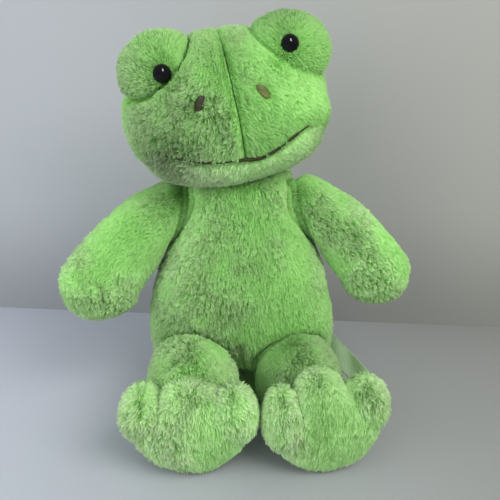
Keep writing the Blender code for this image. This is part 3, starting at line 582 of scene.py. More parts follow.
class PileGrowth(Growth):
    """Strands on the faces of one panel, leaning with the nap and gathered into tufts."""

    def __init__(self) -> None:
        super().__init__("pile", {
            "Object": None,
            "Material": None,
            "Panel": 0,
            "Density": 1e6,
            "Strand Length": 0.008,
            "Strand Width": 0.0008,
            "Tuft Size": 0.004,
            "Tufting": 1.0,
            "Swirl": 0.8,
            "Flyaway": 0.3,
            "Seed": 1,
        })
        panel = self.named("panel", "INT")
        chosen = self.add(
            "FunctionNodeCompare", {2: panel, 3: self.start["Panel"]}, data_type="INT", operation="EQUAL"
        )
        spread = self.add("GeometryNodeDistributePointsOnFaces", {
            "Mesh": self.start["Geometry"],
            "Selection": chosen.outputs[0],
            "Density": self.start["Density"],
            "Seed": self.start["Seed"],
        })
        outward = spread.outputs["Normal"]
        kept = self.add(
            "FunctionNodeCompare", {0: self.random(0, 1, 3), 1: self.named("cover")}, operation="LESS_THAN"
        )
        blade = self.add("GeometryNodeObjectInfo", {"Object": self.start["Object"]}).outputs["Geometry"]
        points = spread.outputs["Points"]
        for name, value, kind in (("outward", outward, "FLOAT_VECTOR"), ("tone", self.tone(), "FLOAT")):
            stored = {"Geometry": points, "Name": name, "Value": value}
            points = self.add("GeometryNodeStoreNamedAttribute", stored, data_type=kind).outputs[0]
        planted = self.add("GeometryNodeInstanceOnPoints", {
            "Points": points,
            "Selection": kept.outputs[0],
            "Instance": blade,
            "Rotation": self.attitude(outward),
            "Scale": self.size(),
        })
        copies = planted.outputs[0]
        for name in ("panel", "cover", "lay", "growth"):
            copies = self.add("GeometryNodeRemoveAttribute", {"Geometry": copies, "Name": name}).outputs[0]
        self.finish(copies)

    def named(self, name: str, kind: str = "FLOAT") -> bpy.types.NodeSocket:
        """An attribute of the form, read where the strand stands."""
        return self.add("GeometryNodeInputNamedAttribute", {"Name": name}, data_type=kind).outputs[0]

    def random(self, low: float, high: float, shift: int) -> bpy.types.NodeSocket:
        """An even random number for each strand."""
        seed = self.maths("ADD", self.start["Seed"], float(shift))
        made = self.add("FunctionNodeRandomValue", {2: low, 3: high, "Seed": seed})
        return made.outputs[1]

    def random_vector(self, shift: int) -> bpy.types.NodeSocket:
        """A random vector for each strand, each part between -1 and 1."""
        seed = self.maths("ADD", self.start["Seed"], float(shift))
        made = self.add(
            "FunctionNodeRandomValue", {0: (-1, -1, -1), 1: (1, 1, 1), "Seed": seed}, data_type="FLOAT_VECTOR"
        )
        return made.outputs[0]

    def tuft(self) -> bpy.types.Node:
        """The tuft that each strand belongs to."""
        scale = self.maths("DIVIDE", 1.0, self.start["Tuft Size"])
        return self.add(
            "ShaderNodeTexVoronoi", {"Vector": self.squeezed(), "Scale": scale, "Randomness": 1.0}
        )

    def squeezed(self) -> bpy.types.NodeSocket:
        """The place of each strand, drawn together along the nap so that the tufts are long."""
        place = self.add("GeometryNodeInputPosition").outputs[0]
        return self.vectors("MULTIPLY", place, (1.0, 1.0, 0.5))

    def tone(self) -> bpy.types.NodeSocket:
        """How light each strand is: partly its tuft's, partly its own."""
        parts = self.add("ShaderNodeSeparateXYZ", {0: self.tuft().outputs["Color"]})
        return self.maths("ADD", self.maths("MULTIPLY", parts.outputs[0], 0.5), self.random(0, 0.5, 5))

    def attitude(self, outward: bpy.types.NodeSocket) -> bpy.types.NodeSocket:
        """The turn that stands a strand up, leans it and faces its flat side out."""
        place = self.add("GeometryNodeInputPosition").outputs[0]
        ruffle = self.named("ruffle")
        pull = self.vectors("SUBTRACT", self.tuft().outputs["Position"], self.squeezed())
        pull = self.vectors(
            "SCALE", pull, self.maths("DIVIDE", self.start["Tufting"], self.start["Tuft Size"])
        )
        clouds = self.add(
            "ShaderNodeTexNoise", {"Vector": place, "Scale": 95.0, "Detail": 1.0}
        ).outputs["Color"]
        swirl = self.vectors("SUBTRACT", clouds, (0.5, 0.5, 0.5))
        swirl = self.vectors("SCALE", swirl, self.maths("MULTIPLY", self.start["Swirl"], 4.0))
        ruffled = self.vectors("SCALE", self.vectors("ADD", pull, swirl), ruffle)
        loose = self.maths("MULTIPLY", self.start["Flyaway"], self.maths("MULTIPLY_ADD", ruffle, 0.7, 0.3))
        wild = self.vectors("SCALE", self.random_vector(7), loose)
        way = self.vectors("ADD", outward, self.named("lay", "FLOAT_VECTOR"))
        way = self.vectors("ADD", self.vectors("ADD", way, ruffled), wild)
        raised = self.maths("MAXIMUM", self.maths("SUBTRACT", 0.45, self.dot(way, outward)), 0.0)
        way = self.vectors("ADD", way, self.vectors("SCALE", outward, raised))
        faced = self.add(
            "FunctionNodeAxesToRotation", {0: way, 1: outward}, primary_axis="Z", secondary_axis="Y"
        )
        roll = self.add("FunctionNodeAxisAngleToRotation", {0: (0, 0, 1), 1: self.random(-0.9, 0.9, 11)})
        inputs = {0: faced.outputs[0], 1: roll.outputs[0]}
        return self.add("FunctionNodeRotateRotation", inputs, rotation_space="LOCAL").outputs[0]

    def dot(self, a: bpy.types.NodeSocket, b: bpy.types.NodeSocket) -> bpy.types.NodeSocket:
        """The dot product of two vectors."""
        return self.add("ShaderNodeVectorMath", {0: a, 1: b}, operation="DOT_PRODUCT").outputs["Value"]

    def size(self) -> bpy.types.NodeSocket:
        """The width and length of each strand."""
        length = self.maths("MULTIPLY", self.start["Strand Length"], self.random(0.72, 1.18, 13))
        length = self.maths("MULTIPLY", length, self.named("growth"))
        width = self.maths("MULTIPLY", self.start["Strand Width"], self.random(0.7, 1.3, 17))
        return self.add("ShaderNodeCombineXYZ", {0: width, 1: length, 2: length}).outputs[0]

    def settled(self, geometry: bpy.types.NodeSocket) -> bpy.types.NodeSocket:
        """Softens the strands' shading towards the surface that they stand on."""
        out = self.add(
            "GeometryNodeInputNamedAttribute", {"Name": "outward"}, data_type="FLOAT_VECTOR"
        ).outputs[0]
        own = self.add("GeometryNodeInputNormal").outputs[0]
        soft = self.vectors("NORMALIZE", self.vectors("ADD", self.vectors("SCALE", out, 1.9), own))
        made = self.add("GeometryNodeSetMeshNormal", {"Mesh": geometry}, mode="TANGENT_SPACE")
        self.put(made.inputs["Custom Normal"], soft)
        gone = self.add("GeometryNodeRemoveAttribute", {"Geometry": made.outputs[0], "Name": "outward"})
        return gone.outputs[0]


def strand() -> bpy.types.Object:
    """One strand, a unit long and wide: a three-sided spike that tapers to a point."""
    points = ((-0.5, -0.28, 0), (0.5, -0.28, 0), (0, 0.5, 0), (0, 0, 1))
    mesh = bpy.data.meshes.new("strand")
    mesh.from_pydata(points, [], [(0, 1, 3), (1, 2, 3), (2, 0, 3)])
    mesh.attributes.new("tip", "FLOAT", "POINT").data.foreach_set("value", [point[2] for point in points])
    made = bpy.data.objects.new("strand", mesh)
    bpy.context.scene.collection.objects.link(made)
    return made


def mapped_by_strand(piece: bpy.types.Object, points_each: int = 4) -> None:
    """Lays each strand in its own small cell of a map, side by side in the order they grow."""
    mesh = piece.data
    count = len(mesh.vertices) // points_each
    across = max(1, math.ceil(math.sqrt(2 * count)))
    down = max(1, math.ceil(count / across))
    corners = np.zeros(len(mesh.loops), int)
    mesh.loops.foreach_get("vertex_index", corners)
    which, part = corners // points_each, corners % points_each
    u = np.array((0.1, 0.5, 0.9, 0.5))[part]
    v = np.array((0.06, 0.06, 0.06, 0.94))[part]
    places = np.stack([(which % across + u) / across, (which // across + v) / down], 1)
    layer = mesh.uv_layers.new(name="OFBake")
    layer.data.foreach_set("uv", places.astype(np.float32).ravel())


class StitchGrowth(Growth):
    """Stitches along a line: end to end, or side by side across it."""

    def __init__(self) -> None:
        super().__init__("stitches", {
            "Object": None,
            "Material": None,
            "Pitch": 0.003,
            "Stitch Length": 0.003,
            "Stitch Width": 0.001,
            "Across": 0,
            "Wander": 0.1,
            "Seed": 1,
        })
        line = self.add("GeometryNodeMeshToCurve", {"Mesh": self.start["Geometry"]}).outputs[0]
        spread = self.add(
            "GeometryNodeCurveToPoints", {"Curve": line, "Length": self.start["Pitch"]}, mode="LENGTH"
        )
        along = spread.outputs["Tangent"]
        outward = self.add(
            "GeometryNodeInputNamedAttribute", {"Name": "outward"}, data_type="FLOAT_VECTOR"
        ).outputs[0]
        crosswise = self.vectors("CROSS_PRODUCT", outward, along)
        turn = self.add(
            "ShaderNodeMix", {0: self.start["Across"], 4: along, 5: crosswise}, data_type="VECTOR"
        )
        seed = self.maths("ADD", self.start["Seed"], 1.0)
        loose = self.add(
            "FunctionNodeRandomValue", {0: (-1, -1, -1), 1: (1, 1, 1), "Seed": seed}, data_type="FLOAT_VECTOR"
        )
        wander = self.vectors("SCALE", loose.outputs[0], self.start["Wander"])
        way = self.vectors("ADD", turn.outputs[1], wander)
        faced = self.add(
            "FunctionNodeAxesToRotation", {0: way, 1: outward}, primary_axis="X", secondary_axis="Z"
        )
        reach = self.add("GeometryNodeInputNamedAttribute", {"Name": "reach"}, data_type="FLOAT").outputs[0]
        long = self.maths("MULTIPLY", self.start["Stitch Length"], reach)
        weight = self.add("GeometryNodeInputNamedAttribute", {"Name": "weight"}, data_type="FLOAT").outputs[0]
        thick = self.maths("MULTIPLY", self.start["Stitch Width"], weight)
        size = self.add("ShaderNodeCombineXYZ", {0: long, 1: thick, 2: thick})
        stitch = self.add("GeometryNodeObjectInfo", {"Object": self.start["Object"]}).outputs["Geometry"]
        shade = self.add("FunctionNodeRandomValue", {2: 0.0, 3: 1.0, "Seed": self.start["Seed"]}).outputs[1]
        toned = self.add(
            "GeometryNodeStoreNamedAttribute",
            {"Geometry": spread.outputs["Points"], "Name": "tone", "Value": shade}
        )
        there = self.add("FunctionNodeCompare", {0: reach, 1: 0.15}, operation="GREATER_THAN")
        sewn = self.add("GeometryNodeInstanceOnPoints", {
            "Points": toned.outputs[0],
            "Selection": there.outputs[0],
            "Instance": stitch,
            "Rotation": faced.outputs[0],
            "Scale": size.outputs[0],
        })
        copies = sewn.outputs[0]
        for name in ("outward", "reach", "weight"):
            copies = self.add("GeometryNodeRemoveAttribute", {"Geometry": copies, "Name": name}).outputs[0]
        self.finish(copies)


@dataclass
class Needle:
    """Lays rows of stitches."""

    growth: StitchGrowth
    stitch: bpy.types.Object
    seed: int = 40

    def row(self, name: str, places: Array, outward: Array, reach: Array, finish: Finish,
            pitch: float, length: float, width: float, across: bool = False, wander: float = 0.1,
            weight: Array | None = None) -> bpy.types.Object:
        """Sews one row.

        Args:
            name: the piece's name.
            places: the line that the row follows.
            outward: the direction out of the fabric at each place.
            reach: the share of a full stitch at each place; no stitch where it is nearly 0.
            finish: the thread.
            pitch: from one stitch to the next.
            length: a full stitch.
            width: its thickness.
            across: whether the stitches lie across the line.
            wander: how unevenly they lie.
            weight: the share of the thickness at each place, all of it by default.

        Returns:
            The row, as a plain mesh.
        """
        self.seed += 1
        line = bpy.data.meshes.new(f"{name}_line")
        line.from_pydata(places.tolist(), [(k, k + 1) for k in range(len(places) - 1)], [])
        line.attributes.new("outward", "FLOAT_VECTOR", "POINT").data.foreach_set("vector", outward.ravel())
        line.attributes.new("reach", "FLOAT", "POINT").data.foreach_set("value", reach)
        full = np.ones(len(places)) if weight is None else weight
        line.attributes.new("weight", "FLOAT", "POINT").data.foreach_set("value", full)
        piece = self.growth.grown(name, line, {
            "Object": self.stitch,
            "Material": finish.material(),
            "Pitch": pitch,
            "Stitch Length": length,
            "Stitch Width": width,
            "Across": int(across),
            "Wander": wander,
            "Seed": self.seed,
        })
        log.info("%s: %d faces", name, len(piece.data.polygons))
        return piece


def stitch_shape() -> bpy.types.Object:
    """One stitch a unit long and thick: a thread that dips into the fabric at both ends."""
    sides, rings = 6, 6
    points = []
    for row in range(rings + 1):
        t = row / rings
        swell = math.sin(math.pi * min(max(t, 0.06), 0.94)) ** 0.35 / 2
        dip = 0.55 * (1 - (2 * t - 1) ** 2) - 0.45
        for k in range(sides):
            angle = 2 * math.pi * k / sides
            points.append((t - 0.5, swell * math.cos(angle), dip + swell * math.sin(angle)))
    faces = []
    for row in range(rings):
        for k in range(sides):
            a, b = row * sides + k, row * sides + (k + 1) % sides
            faces.append((a, b, b + sides, a + sides))
    faces += [tuple(range(sides))[::-1], tuple(rings * sides + k for k in range(sides))]
    mesh = bpy.data.meshes.new("stitch")
    mesh.from_pydata(points, [], [face[::-1] for face in faces])
    mesh.shade_smooth()
    made = bpy.data.objects.new("stitch", mesh)
    bpy.context.scene.collection.objects.link(made)
    return made


# Sewn forms


@dataclass
class Form:
    """A stuffed form: its points and faces, and what the pile needs to know at each point."""

    name: str
    body: str
    points: Array
    faces: list[tuple]
    lay: Array = field(init=False)
    cover: Array = field(init=False)
    growth: Array = field(init=False)
    ruffle: Array = field(init=False)
    # light: painted light and shade, a factor on the pile's colour at each point
    light: Array = field(init=False)
    calm: Array = field(init=False)
    panel: Array = field(init=False)

    def __post_init__(self) -> None:
        count = len(self.points)
        self.lay = np.tile((0.0, 0.0, -0.9), (count, 1))
        self.cover = np.ones(count)
        self.growth = np.ones(count)
        self.ruffle = np.full(count, 0.5)
        self.light = np.ones(count)
        self.calm = np.ones(count)
        self.panel = np.zeros(len(self.faces), int)

    def normals(self) -> Array:
        """The outward direction at each point."""
        mesh = bpy.data.meshes.new("trial")
        mesh.from_pydata(self.points.tolist(), [], self.faces)
        ways = np.zeros(3 * len(self.points), np.float32)
        mesh.vertex_normals.foreach_get("vector", ways)
        bpy.data.meshes.remove(mesh)
        return ways.reshape(-1, 3).astype(float)

    def middles(self) -> Array:
        """The middle of each face."""
        return np.array([self.points[list(face)].mean(0) for face in self.faces])

    def press(self, depth: Array) -> None:
        """Moves the surface inwards by this much at each point."""
        self.points = self.points - self.normals() * depth[:, None]

    def seamed(self, far: Array, depth: float = 0.003, width: float = 0.005) -> None:
        """Presses in the fabric along a seam, keeps the pile short and parted there, and paints shade into
        it.

        Args:
            far: the distance of each point from the seam.
            depth: how deep the seam lies.
            width: how wide the fabric bends into it.
        """
        self.press(depth * bump(far, width))
        self.growth *= 1 - 0.55 * bump(far, 0.8 * width)
        self.cover *= 1 - 0.75 * bump(far, 0.3 * width)
        self.calm *= 1 - 0.6 * bump(far, width)
        # Painted shade along the seam
        self.light -= 0.20 * bump(far, 0.6 * width)

    def ruffled(self, patches: list[tuple[Vector, float, float]]) -> None:
        """Sets how ruffled the pile is: clouds, and patches brushed flat or roughed up.

        Args:
            patches: the middle of each patch, its radius, and what it adds.
        """
        value = 0.55 + 0.55 * cloudy(self.points, 0.030, 3.1) + 0.25 * cloudy(self.points, 0.011, 7.7)
        for middle, radius, change in patches:
            far = np.linalg.norm(self.points - np.array(middle), axis=1)
            value += change * bump(far, radius)
        self.ruffle = np.clip(value, 0.03, 1.0) * self.calm
        self.cover *= 1 - 0.15 * ramp(self.ruffle, 0.6, 1.0)

    def toned(self, patches: list[tuple[Vector, float, float]]) -> None:
        """Paints light and shade into patches of the pile: lighter where light falls, darker where shade
        falls.

        Args:
            patches: the middle of each patch, its radius, and what it adds.
        """
        for middle, radius, change in patches:
            far = np.linalg.norm(self.points - np.array(middle), axis=1)
            self.light += change * bump(far, radius)

    def combed(self) -> None:
        """Turns the lay into the surface, and flattens it where the pile is brushed."""
        out = self.normals()
        along = self.lay - (self.lay * out).sum(1)[:, None] * out
        self.lay = along * (1.7 - 1.0 * self.ruffle)[:, None]

    def mesh(self) -> bpy.types.Mesh:
        """The form as a mesh, with its attributes."""
        made = bpy.data.meshes.new(self.name)
        made.from_pydata(self.points.tolist(), [], self.faces)
        made.attributes.new("panel", "INT", "FACE").data.foreach_set("value", self.panel)
        for name in ("cover", "growth", "ruffle", "light"):
            made.attributes.new(name, "FLOAT", "POINT").data.foreach_set("value", getattr(self, name))
        made.attributes.new("lay", "FLOAT_VECTOR", "POINT").data.foreach_set("vector", self.lay.ravel())
        made.shade_smooth()
        return made


@dataclass
class Sewing:
    """Turns forms into pieces: the stuffed form itself and the pile of each of its panels."""

    pile: PileGrowth
    blade: bpy.types.Object
    seed: int = 1
    share: float = 1.0

    def sew(self, form: Form, stands_for: list[str]) -> bpy.types.Object:
        """Makes the stuffed form.

        Args:
            form: the form.
            stands_for: the CAD nodes that it replaces.

        Returns:
            The form's piece.
        """
        form.combed()
        piece = bpy.data.objects.new(form.name, form.mesh())
        bpy.context.scene.collection.objects.link(piece)
        BACKING.dress(piece)
        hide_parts(*stands_for)
        log.info("%s: %d faces", piece.name, len(piece.data.polygons))
        return piece

    def grow(self, name: str, form: Form, panel: Panel, nap: Nap, floor: bool = False) -> bpy.types.Object:
        """Grows the pile of one panel.

        Args:
            name: the piece's name.
            form: the form that carries it.
            panel: which of its faces grow.
            nap: how they grow.
            floor: whether strands that reach the floor are pressed flat on it.

        Returns:
            The pile, as a plain mesh.
        """
        self.seed += 1
        piece = self.pile.grown(name, form.mesh(), {
            "Object": self.blade,
            "Material": nap.finish.material(),
            "Panel": panel.value,
            "Density": nap.density * self.share,
            "Strand Length": nap.length,
            "Strand Width": nap.width,
            "Tuft Size": nap.tuft,
            "Tufting": nap.tufting,
            "Swirl": nap.swirl,
            "Flyaway": nap.flyaway,
            "Seed": self.seed,
        })
        if floor:
            places = np.zeros(3 * len(piece.data.vertices), np.float32)
            piece.data.vertices.foreach_get("co", places)
            places = places.reshape(-1, 3)
            places[:, 2] = np.maximum(places[:, 2], 0.0003)
            piece.data.vertices.foreach_set("co", places.ravel())
        mapped_by_strand(piece)
        log.info("%s: %d strands", name, len(piece.data.vertices) // 4)
        return piece


@dataclass(frozen=True)
class Joint:
    """Fabric that is sewn across a joint: the two bodies and where a bend would start and end; nothing bends
    it.
    """

    first: str
    second: str
    start: Vector
    end: Vector

    def carry(self, piece: bpy.types.Object) -> None:
        """Bakes a piece's place into its mesh, without bending it."""
        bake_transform(piece)


@dataclass
class Torso:
    """The body of the frog: one bag of front and back panels."""

    height: float = 0.226
    half_width: float = 0.0855
    half_depth: float = 0.061
    belly_forward: float = 0.004
    squareness: float = 2.25
    shares: tuple = (
        (0.00, 0.66, 0.70, 0.0),
        (0.05, 0.85, 0.78, 0.0),
        (0.13, 0.96, 0.84, 0.0),
        (0.25, 1.00, 0.88, 0.2),
        (0.40, 0.99, 0.96, 0.8),
        (0.55, 0.90, 0.94, 1.0),
        (0.70, 0.76, 0.78, 0.4),
        (0.82, 0.68, 0.67, 0.0),
        (0.92, 0.61, 0.60, 0.0),
        (1.00, 0.53, 0.54, 0.0),
    )
    top_round_share: float = 0.10
    rings: int = 120
    segments: int = 168
    crotch_top: float = 0.084
    crotch_depth: float = 0.0055
    undercut: float = 0.034
    undercut_top: float = 0.048
    nape_rise: float = 0.012

    def half_sizes(self, z: Array) -> tuple[Array, Array, Array]:
        """The half-width, half-depth and forward shift at each height."""
        at = np.clip(z / self.height, 0, 1)
        table = smooth_rows(self.shares, at)
        top = rounded_off(at, self.top_round_share)
        return (
            table[:, 0] * top * self.half_width, table[:, 1] * top * self.half_depth,
            table[:, 2] * self.belly_forward
        )

    def outside_by(self, points: Array) -> Array:
        """About how far each point lies outside the pile tips; negative inside."""
        own = points - np.array(root_place())
        wide, deep, forward = self.half_sizes(own[:, 2])
        wide, deep = np.maximum(wide, 1e-4), np.maximum(deep, 1e-4)
        power = self.squareness
        spread = (
            np.abs(own[:, 0] / wide) ** power + np.abs((own[:, 1] + forward) / deep) ** power
        ) ** (1 / power)
        beside = (spread - 1) * np.minimum(wide, deep)
        return np.maximum(beside, own[:, 2] - self.height)

    def form(self) -> Form:
        """The stuffed bag, with its seams pressed in."""
        where = 0.5 - 0.5 * np.cos(np.linspace(0, math.pi, self.rings + 1))[1:-1]
        low, high = INSET * 0.5, self.height - INSET
        heights = low + (high - low) * where
        wide, deep, forward = self.half_sizes(self.height * where)
        angle = 2 * math.pi * (np.arange(self.segments) + 0.5) / self.segments
        c, s = np.cos(angle), np.sin(angle)
        x = np.sign(c) * np.abs(c) ** (2 / self.squareness)
        y = np.sign(s) * np.abs(s) ** (2 / self.squareness)
        loops = np.zeros((len(where), self.segments, 3))
        loops[..., 0] = np.maximum(wide - INSET, 0.001)[:, None] * x
        loops[..., 1] = np.maximum(deep - INSET, 0.001)[:, None] * y - forward[:, None]
        loops[..., 2] = heights[:, None]
        points = np.vstack([[0, 0, low], loops.reshape(-1, 3), [0, 0, high]])
        form = Form("torso_stuffed", "torso", points, tube_faces(len(where), self.segments))
        self.sculpt(form)
        form.points = form.points + np.array(root_place())
        middle = form.middles() - np.array(root_place())
        form.panel = 2 * (middle[:, 1] > 0) + (middle[:, 0] < 0)
        return form

    def sculpt(self, form: Form) -> None:
        """Presses in the side seams and the crotch, paints shade into the crotch seam, and tucks the base in
        between the thighs.
        """
        p = form.points
        x, y, z = p.T
        front = ramp(-y, 0.0, 0.02)
        tuck = self.undercut * bump(x, 0.022) * front * (
            1 - ramp(z, 0.4 * self.undercut_top, self.undercut_top)
        )
        p[:, 1] += tuck
        p[:, 2] += self.nape_rise * ramp(y, -0.005, 0.020) * ramp(z, 0.190, 0.218)
        crotch = self.crotch_depth * bump(x, 0.0040) * front * ramp(z, 0.018, 0.03) * (
            1 - ramp(z, 0.85 * self.crotch_top, self.crotch_top)
        )
        sides = 0.0012 * bump(y, 0.0022) * ramp(z, 0.004, 0.012)
        lumps = 0.0011 * cloudy(p, 0.034, 1.3) * ramp(z, 0.004, 0.02)
        form.press(crotch + sides + lumps)
        seam = bump(x, 0.0028) * front * ramp(z, 0.018, 0.03) * (
            1 - ramp(z, 0.85 * self.crotch_top, self.crotch_top)
        )
        form.growth *= 1 - 0.35 * bump(y, 0.003) - 0.6 * seam
        # Painted shade in the crotch seam
        form.light -= 0.25 * seam
        form.cover *= 1 - 0.85 * bump(x, 0.0010) * seam
        form.growth *= 0.35 + 0.65 * ramp(z, 0.002, 0.010)
        form.lay = np.stack([0.25 * np.sign(x) * ramp(np.abs(x), 0, 0.05), 0 * x, -0.9 + 0 * z], 1)

    def build(self, sewing: Sewing, limbs: list[tuple[Array, float]]) -> None:
        """Makes the torso's pieces.

        Args:
            sewing: makes the pieces.
            limbs: the middle line and the radius of each limb where it is sewn on.
        """
        form = self.form()
        root = root_place()
        for line, radius in limbs:
            beside = to_line(form.points, line) - radius
            form.cover *= ramp(beside, -0.008, -0.004)
            form.seamed(np.maximum(beside, -0.002))
        form.ruffled([
            (root + Vector((0.045, -0.055, 0.085)), 0.040, -0.75),
            (root + Vector((-0.040, -0.055, 0.090)), 0.045, 0.35),
            (root + Vector((0.030, -0.040, 0.170)), 0.028, -0.35),
        ])
        # Painted shade on the belly, deeper on the frog's right side
        form.toned([
            (root + Vector((0.0, -0.050, 0.090)), 0.060, -0.06),
            (root + Vector((-0.045, -0.045, 0.080)), 0.040, -0.14),
        ])
        nodes = ["torso_front_panel", "torso_back_panel", "torso_filling"]
        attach(sewing.sew(form, nodes), "torso")
        names = {
            Panel.FRONT_LEFT: "torso_front_panel_left_pile",
            Panel.FRONT_RIGHT: "torso_front_panel_right_pile",
            Panel.BACK_LEFT: "torso_back_panel_left_pile",
            Panel.BACK_RIGHT: "torso_back_panel_right_pile",
        }
        for panel, name in names.items():
            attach(sewing.grow(name, form, panel, Nap(), floor=True), "torso")


@dataclass
class Head:
    """The head: face halves, chin, back, two eye mounds, and what is on them."""

    torso: Torso
    turn_rest: float = math.radians(6.5)
    tilt_rest: float = math.radians(-10.5)
    rise: float = 0.051
    forward: float = 0.008
    aside: float = 0.002
    cranium_halves: tuple = (0.0875, 0.060, 0.059)
    cranium_rise: float = 0.003
    muzzle_halves: tuple = (0.0815, 0.046, 0.036)
    muzzle_forward: float = 0.023
    muzzle_drop: float = 0.012
    chin_halves: tuple = (0.071, 0.045, 0.028)
    chin_forward: float = 0.014
    chin_drop: float = 0.031
    seam_back: float = 0.010
    chin_narrowing: float = 0.042
    chin_fade: float = 0.26
    sharpness: float = 14
    mound_apart: float = 0.0487
    mound_forward: float = 0.012
    mound_rise: float = 0.0345
    mound_halves: tuple = (0.0355, 0.033, 0.034)
    left_mound: tuple = (0.0505, 0.0325)
    left_mound_halves: tuple = (0.0377, 0.033, 0.033)
    mound_blend: float = 20
    mouth_half_left: float = 0.0513
    mouth_half_right: float = 0.0632
    mouth_line: tuple = (
        (-0.0632, -0.0187),
        (-0.0594, -0.0222),
        (-0.0488, -0.0270),
        (-0.0355, -0.0324),
        (-0.0204, -0.0356),
        (-0.0049, -0.0365),
        (0.0100, -0.0383),
        (0.0257, -0.0340),
        (0.0437, -0.0252),
        (0.0513, -0.0222),
    )
    levels: int = 7
    mound_crease: float = 0.0034
    mound_seams: tuple = (0.40, 1.0)
    centre_crease: float = 0.0026
    mouth_stretches: tuple = (
        (-0.99, -0.90, 0.8),
        (-0.86, -0.71, 1.0),
        (-0.66, -0.53, 0.6),
        (-0.53, -0.43, 0.85),
        (-0.36, -0.28, 0.5),
        (-0.25, -0.17, 0.55),
        (-0.09, 0.31, 1.2),
        (0.36, 0.54, 1.0),
        (0.57, 0.62, 0.55),
        (0.67, 0.85, 1.0),
        (0.86, 1.00, 0.5),
    )
    eye_radius: float = 0.0070
    eye_dome: float = 0.0060
    eye_rim: float = 0.0010
    eye_sink: float = 0.0034
    eye_inward_left: float = 0.0004
    eye_inward_right: float = 0.0000
    eye_rise_left: float = 0.0066
    eye_rise_right: float = 0.0008
    nostril_out_left: float = 0.0215
    nostril_out_right: float = 0.0262
    nostril_rise: float = 0.0095
    nostril_halves: tuple = (0.0033, 0.0013, 0.0060)
    nostril_lean: float = math.radians(31)

    def matrix(self) -> Matrix:
        """From the head's own middle to its place at rest."""
        turn = Matrix.Rotation(self.turn_rest, 4, "Z") @ Matrix.Rotation(self.tilt_rest, 4, "Y")
        middle = Matrix.Translation((0, -self.forward, self.rise))
        return Matrix.Translation(joint_place("head_tilt")) @ turn @ middle

    def mound_place(self, side: Side) -> Vector:
        """The middle of an eye mound, from the middle of the head."""
        apart, rise = (self.mound_apart, self.mound_rise) if side is Side.RIGHT else self.left_mound
        return Vector((side.value * apart, -self.mound_forward, rise))

    def mound_size(self, side: Side) -> tuple:
        """The half-sizes of an eye mound."""
        return self.mound_halves if side is Side.RIGHT else self.left_mound_halves

    def eye_spot(self, side: Side) -> tuple[float, float]:
        """How far an eye lies inward of, and above, the middle of its mound."""
        if side is Side.LEFT:
            return self.eye_inward_left, self.eye_rise_left
        return self.eye_inward_right, self.eye_rise_right

    def smile_height(self, x: Array) -> Array:
        """The height of the mouth line at each distance from the middle of the face."""
        return smooth_rows(self.mouth_line, np.clip(x, -self.mouth_half_right, self.mouth_half_left))[:, 0]

    def mouth_share(self, x: Array) -> Array:
        """How far along its half of the mouth each place is."""
        return np.abs(x) / np.where(x > 0, self.mouth_half_left, self.mouth_half_right)

    def reaches(self, ways: Array, grow: float) -> tuple[Array, dict[Side, Array]]:
        """How far the head's lobes and each mound reach along directions from its middle."""
        lobes = (
            ((-self.aside, 0, self.cranium_rise), self.cranium_halves),
            ((-self.aside, -self.muzzle_forward, -self.muzzle_drop), self.muzzle_halves),
            ((-self.aside, -self.chin_forward, -self.chin_drop), self.chin_halves),
        )
        head = blended([reach_of(ways, np.array(p), np.array(h) + grow) for p, h in lobes], self.sharpness)
        mounds = {
            side: reach_of(ways, np.array(self.mound_place(side)), np.array(self.mound_size(side)) + grow)
            for side in Side
        }
        return head, mounds

    def form(self) -> Form:
        """The stuffed head with its mounds, in the world."""
        ways, faces = ball_ways(self.levels)
        head, mounds = self.reaches(ways, -INSET)
        soft = blended([head, mounds[Side.LEFT]], self.mound_blend)
        reach = self.above_torso(ways, np.maximum(soft, mounds[Side.RIGHT]))
        form = Form("head_stuffed", "head", ways * reach[:, None], faces)
        seams = [from_border(form.points, faces, mound > head) for mound in mounds.values()]
        middles = form.middles()
        unit = middles / np.linalg.norm(middles, axis=1)[:, None]
        head, mounds = self.reaches(unit, -INSET)
        self.sculpt(form)
        for (far, away), depth in zip(seams, self.mound_seams):
            form.press(self.mound_crease * depth * bump(far, 0.0030))
            form.growth *= 1 - 0.70 * depth * bump(far, 0.0022)
            form.cover *= 1 - 0.90 * depth * bump(far, 0.0009)
            form.lay += 0.7 * depth * away * bump(far, 0.0045)[:, None]
            form.calm *= 1 - 0.8 * depth * bump(far, 0.0045)
        self.fold(form, seams[-1][0])
        below = self.in_chin(middles)
        form.panel = np.where(middles[:, 0] > 0, Panel.FRONT_LEFT.value, Panel.FRONT_RIGHT.value)
        form.panel[below] = Panel.CHIN.value
        form.panel[middles[:, 1] > self.seam_back] = Panel.BACK_LEFT.value
        form.panel[mounds[Side.LEFT] > head] = Panel.MOUND_LEFT.value
        form.panel[mounds[Side.RIGHT] > head] = Panel.MOUND_RIGHT.value
        form.points = moved(form.points, self.matrix())
        form.lay = turned(form.lay, self.matrix())
        return form

    def in_chin(self, points: Array) -> Array:
        """Which points lie on the chin panel, which narrows towards the back."""
        narrowing = self.chin_narrowing * ramp(points[:, 1], self.seam_back - 0.055, self.seam_back)
        return points[:, 2] < self.smile_height(points[:, 0]) - narrowing

    def fold(self, form: Form, far: Array) -> None:
        """Presses a fold into the foot of the right mound, just above its seam.

        Args:
            form: the head, around its own middle.
            far: the distance of each point from the mound's seam.
        """
        x, y, _ = form.points.T
        off = np.linalg.norm(
            (form.points - np.array(self.mound_place(Side.RIGHT))) / np.array(self.mound_halves), axis=1
        )
        outer = ramp(-x, 0.044, 0.072)
        line = bump(
            far - 0.0008 - 0.0042 * outer, 0.0010
        ) * (off < 1.0) * ramp(-x, 0.046, 0.054) * ramp(-y, 0.0, 0.012)
        form.press(0.0016 * line)
        form.growth *= 1 - 0.55 * line
        form.cover *= 1 - 0.6 * line

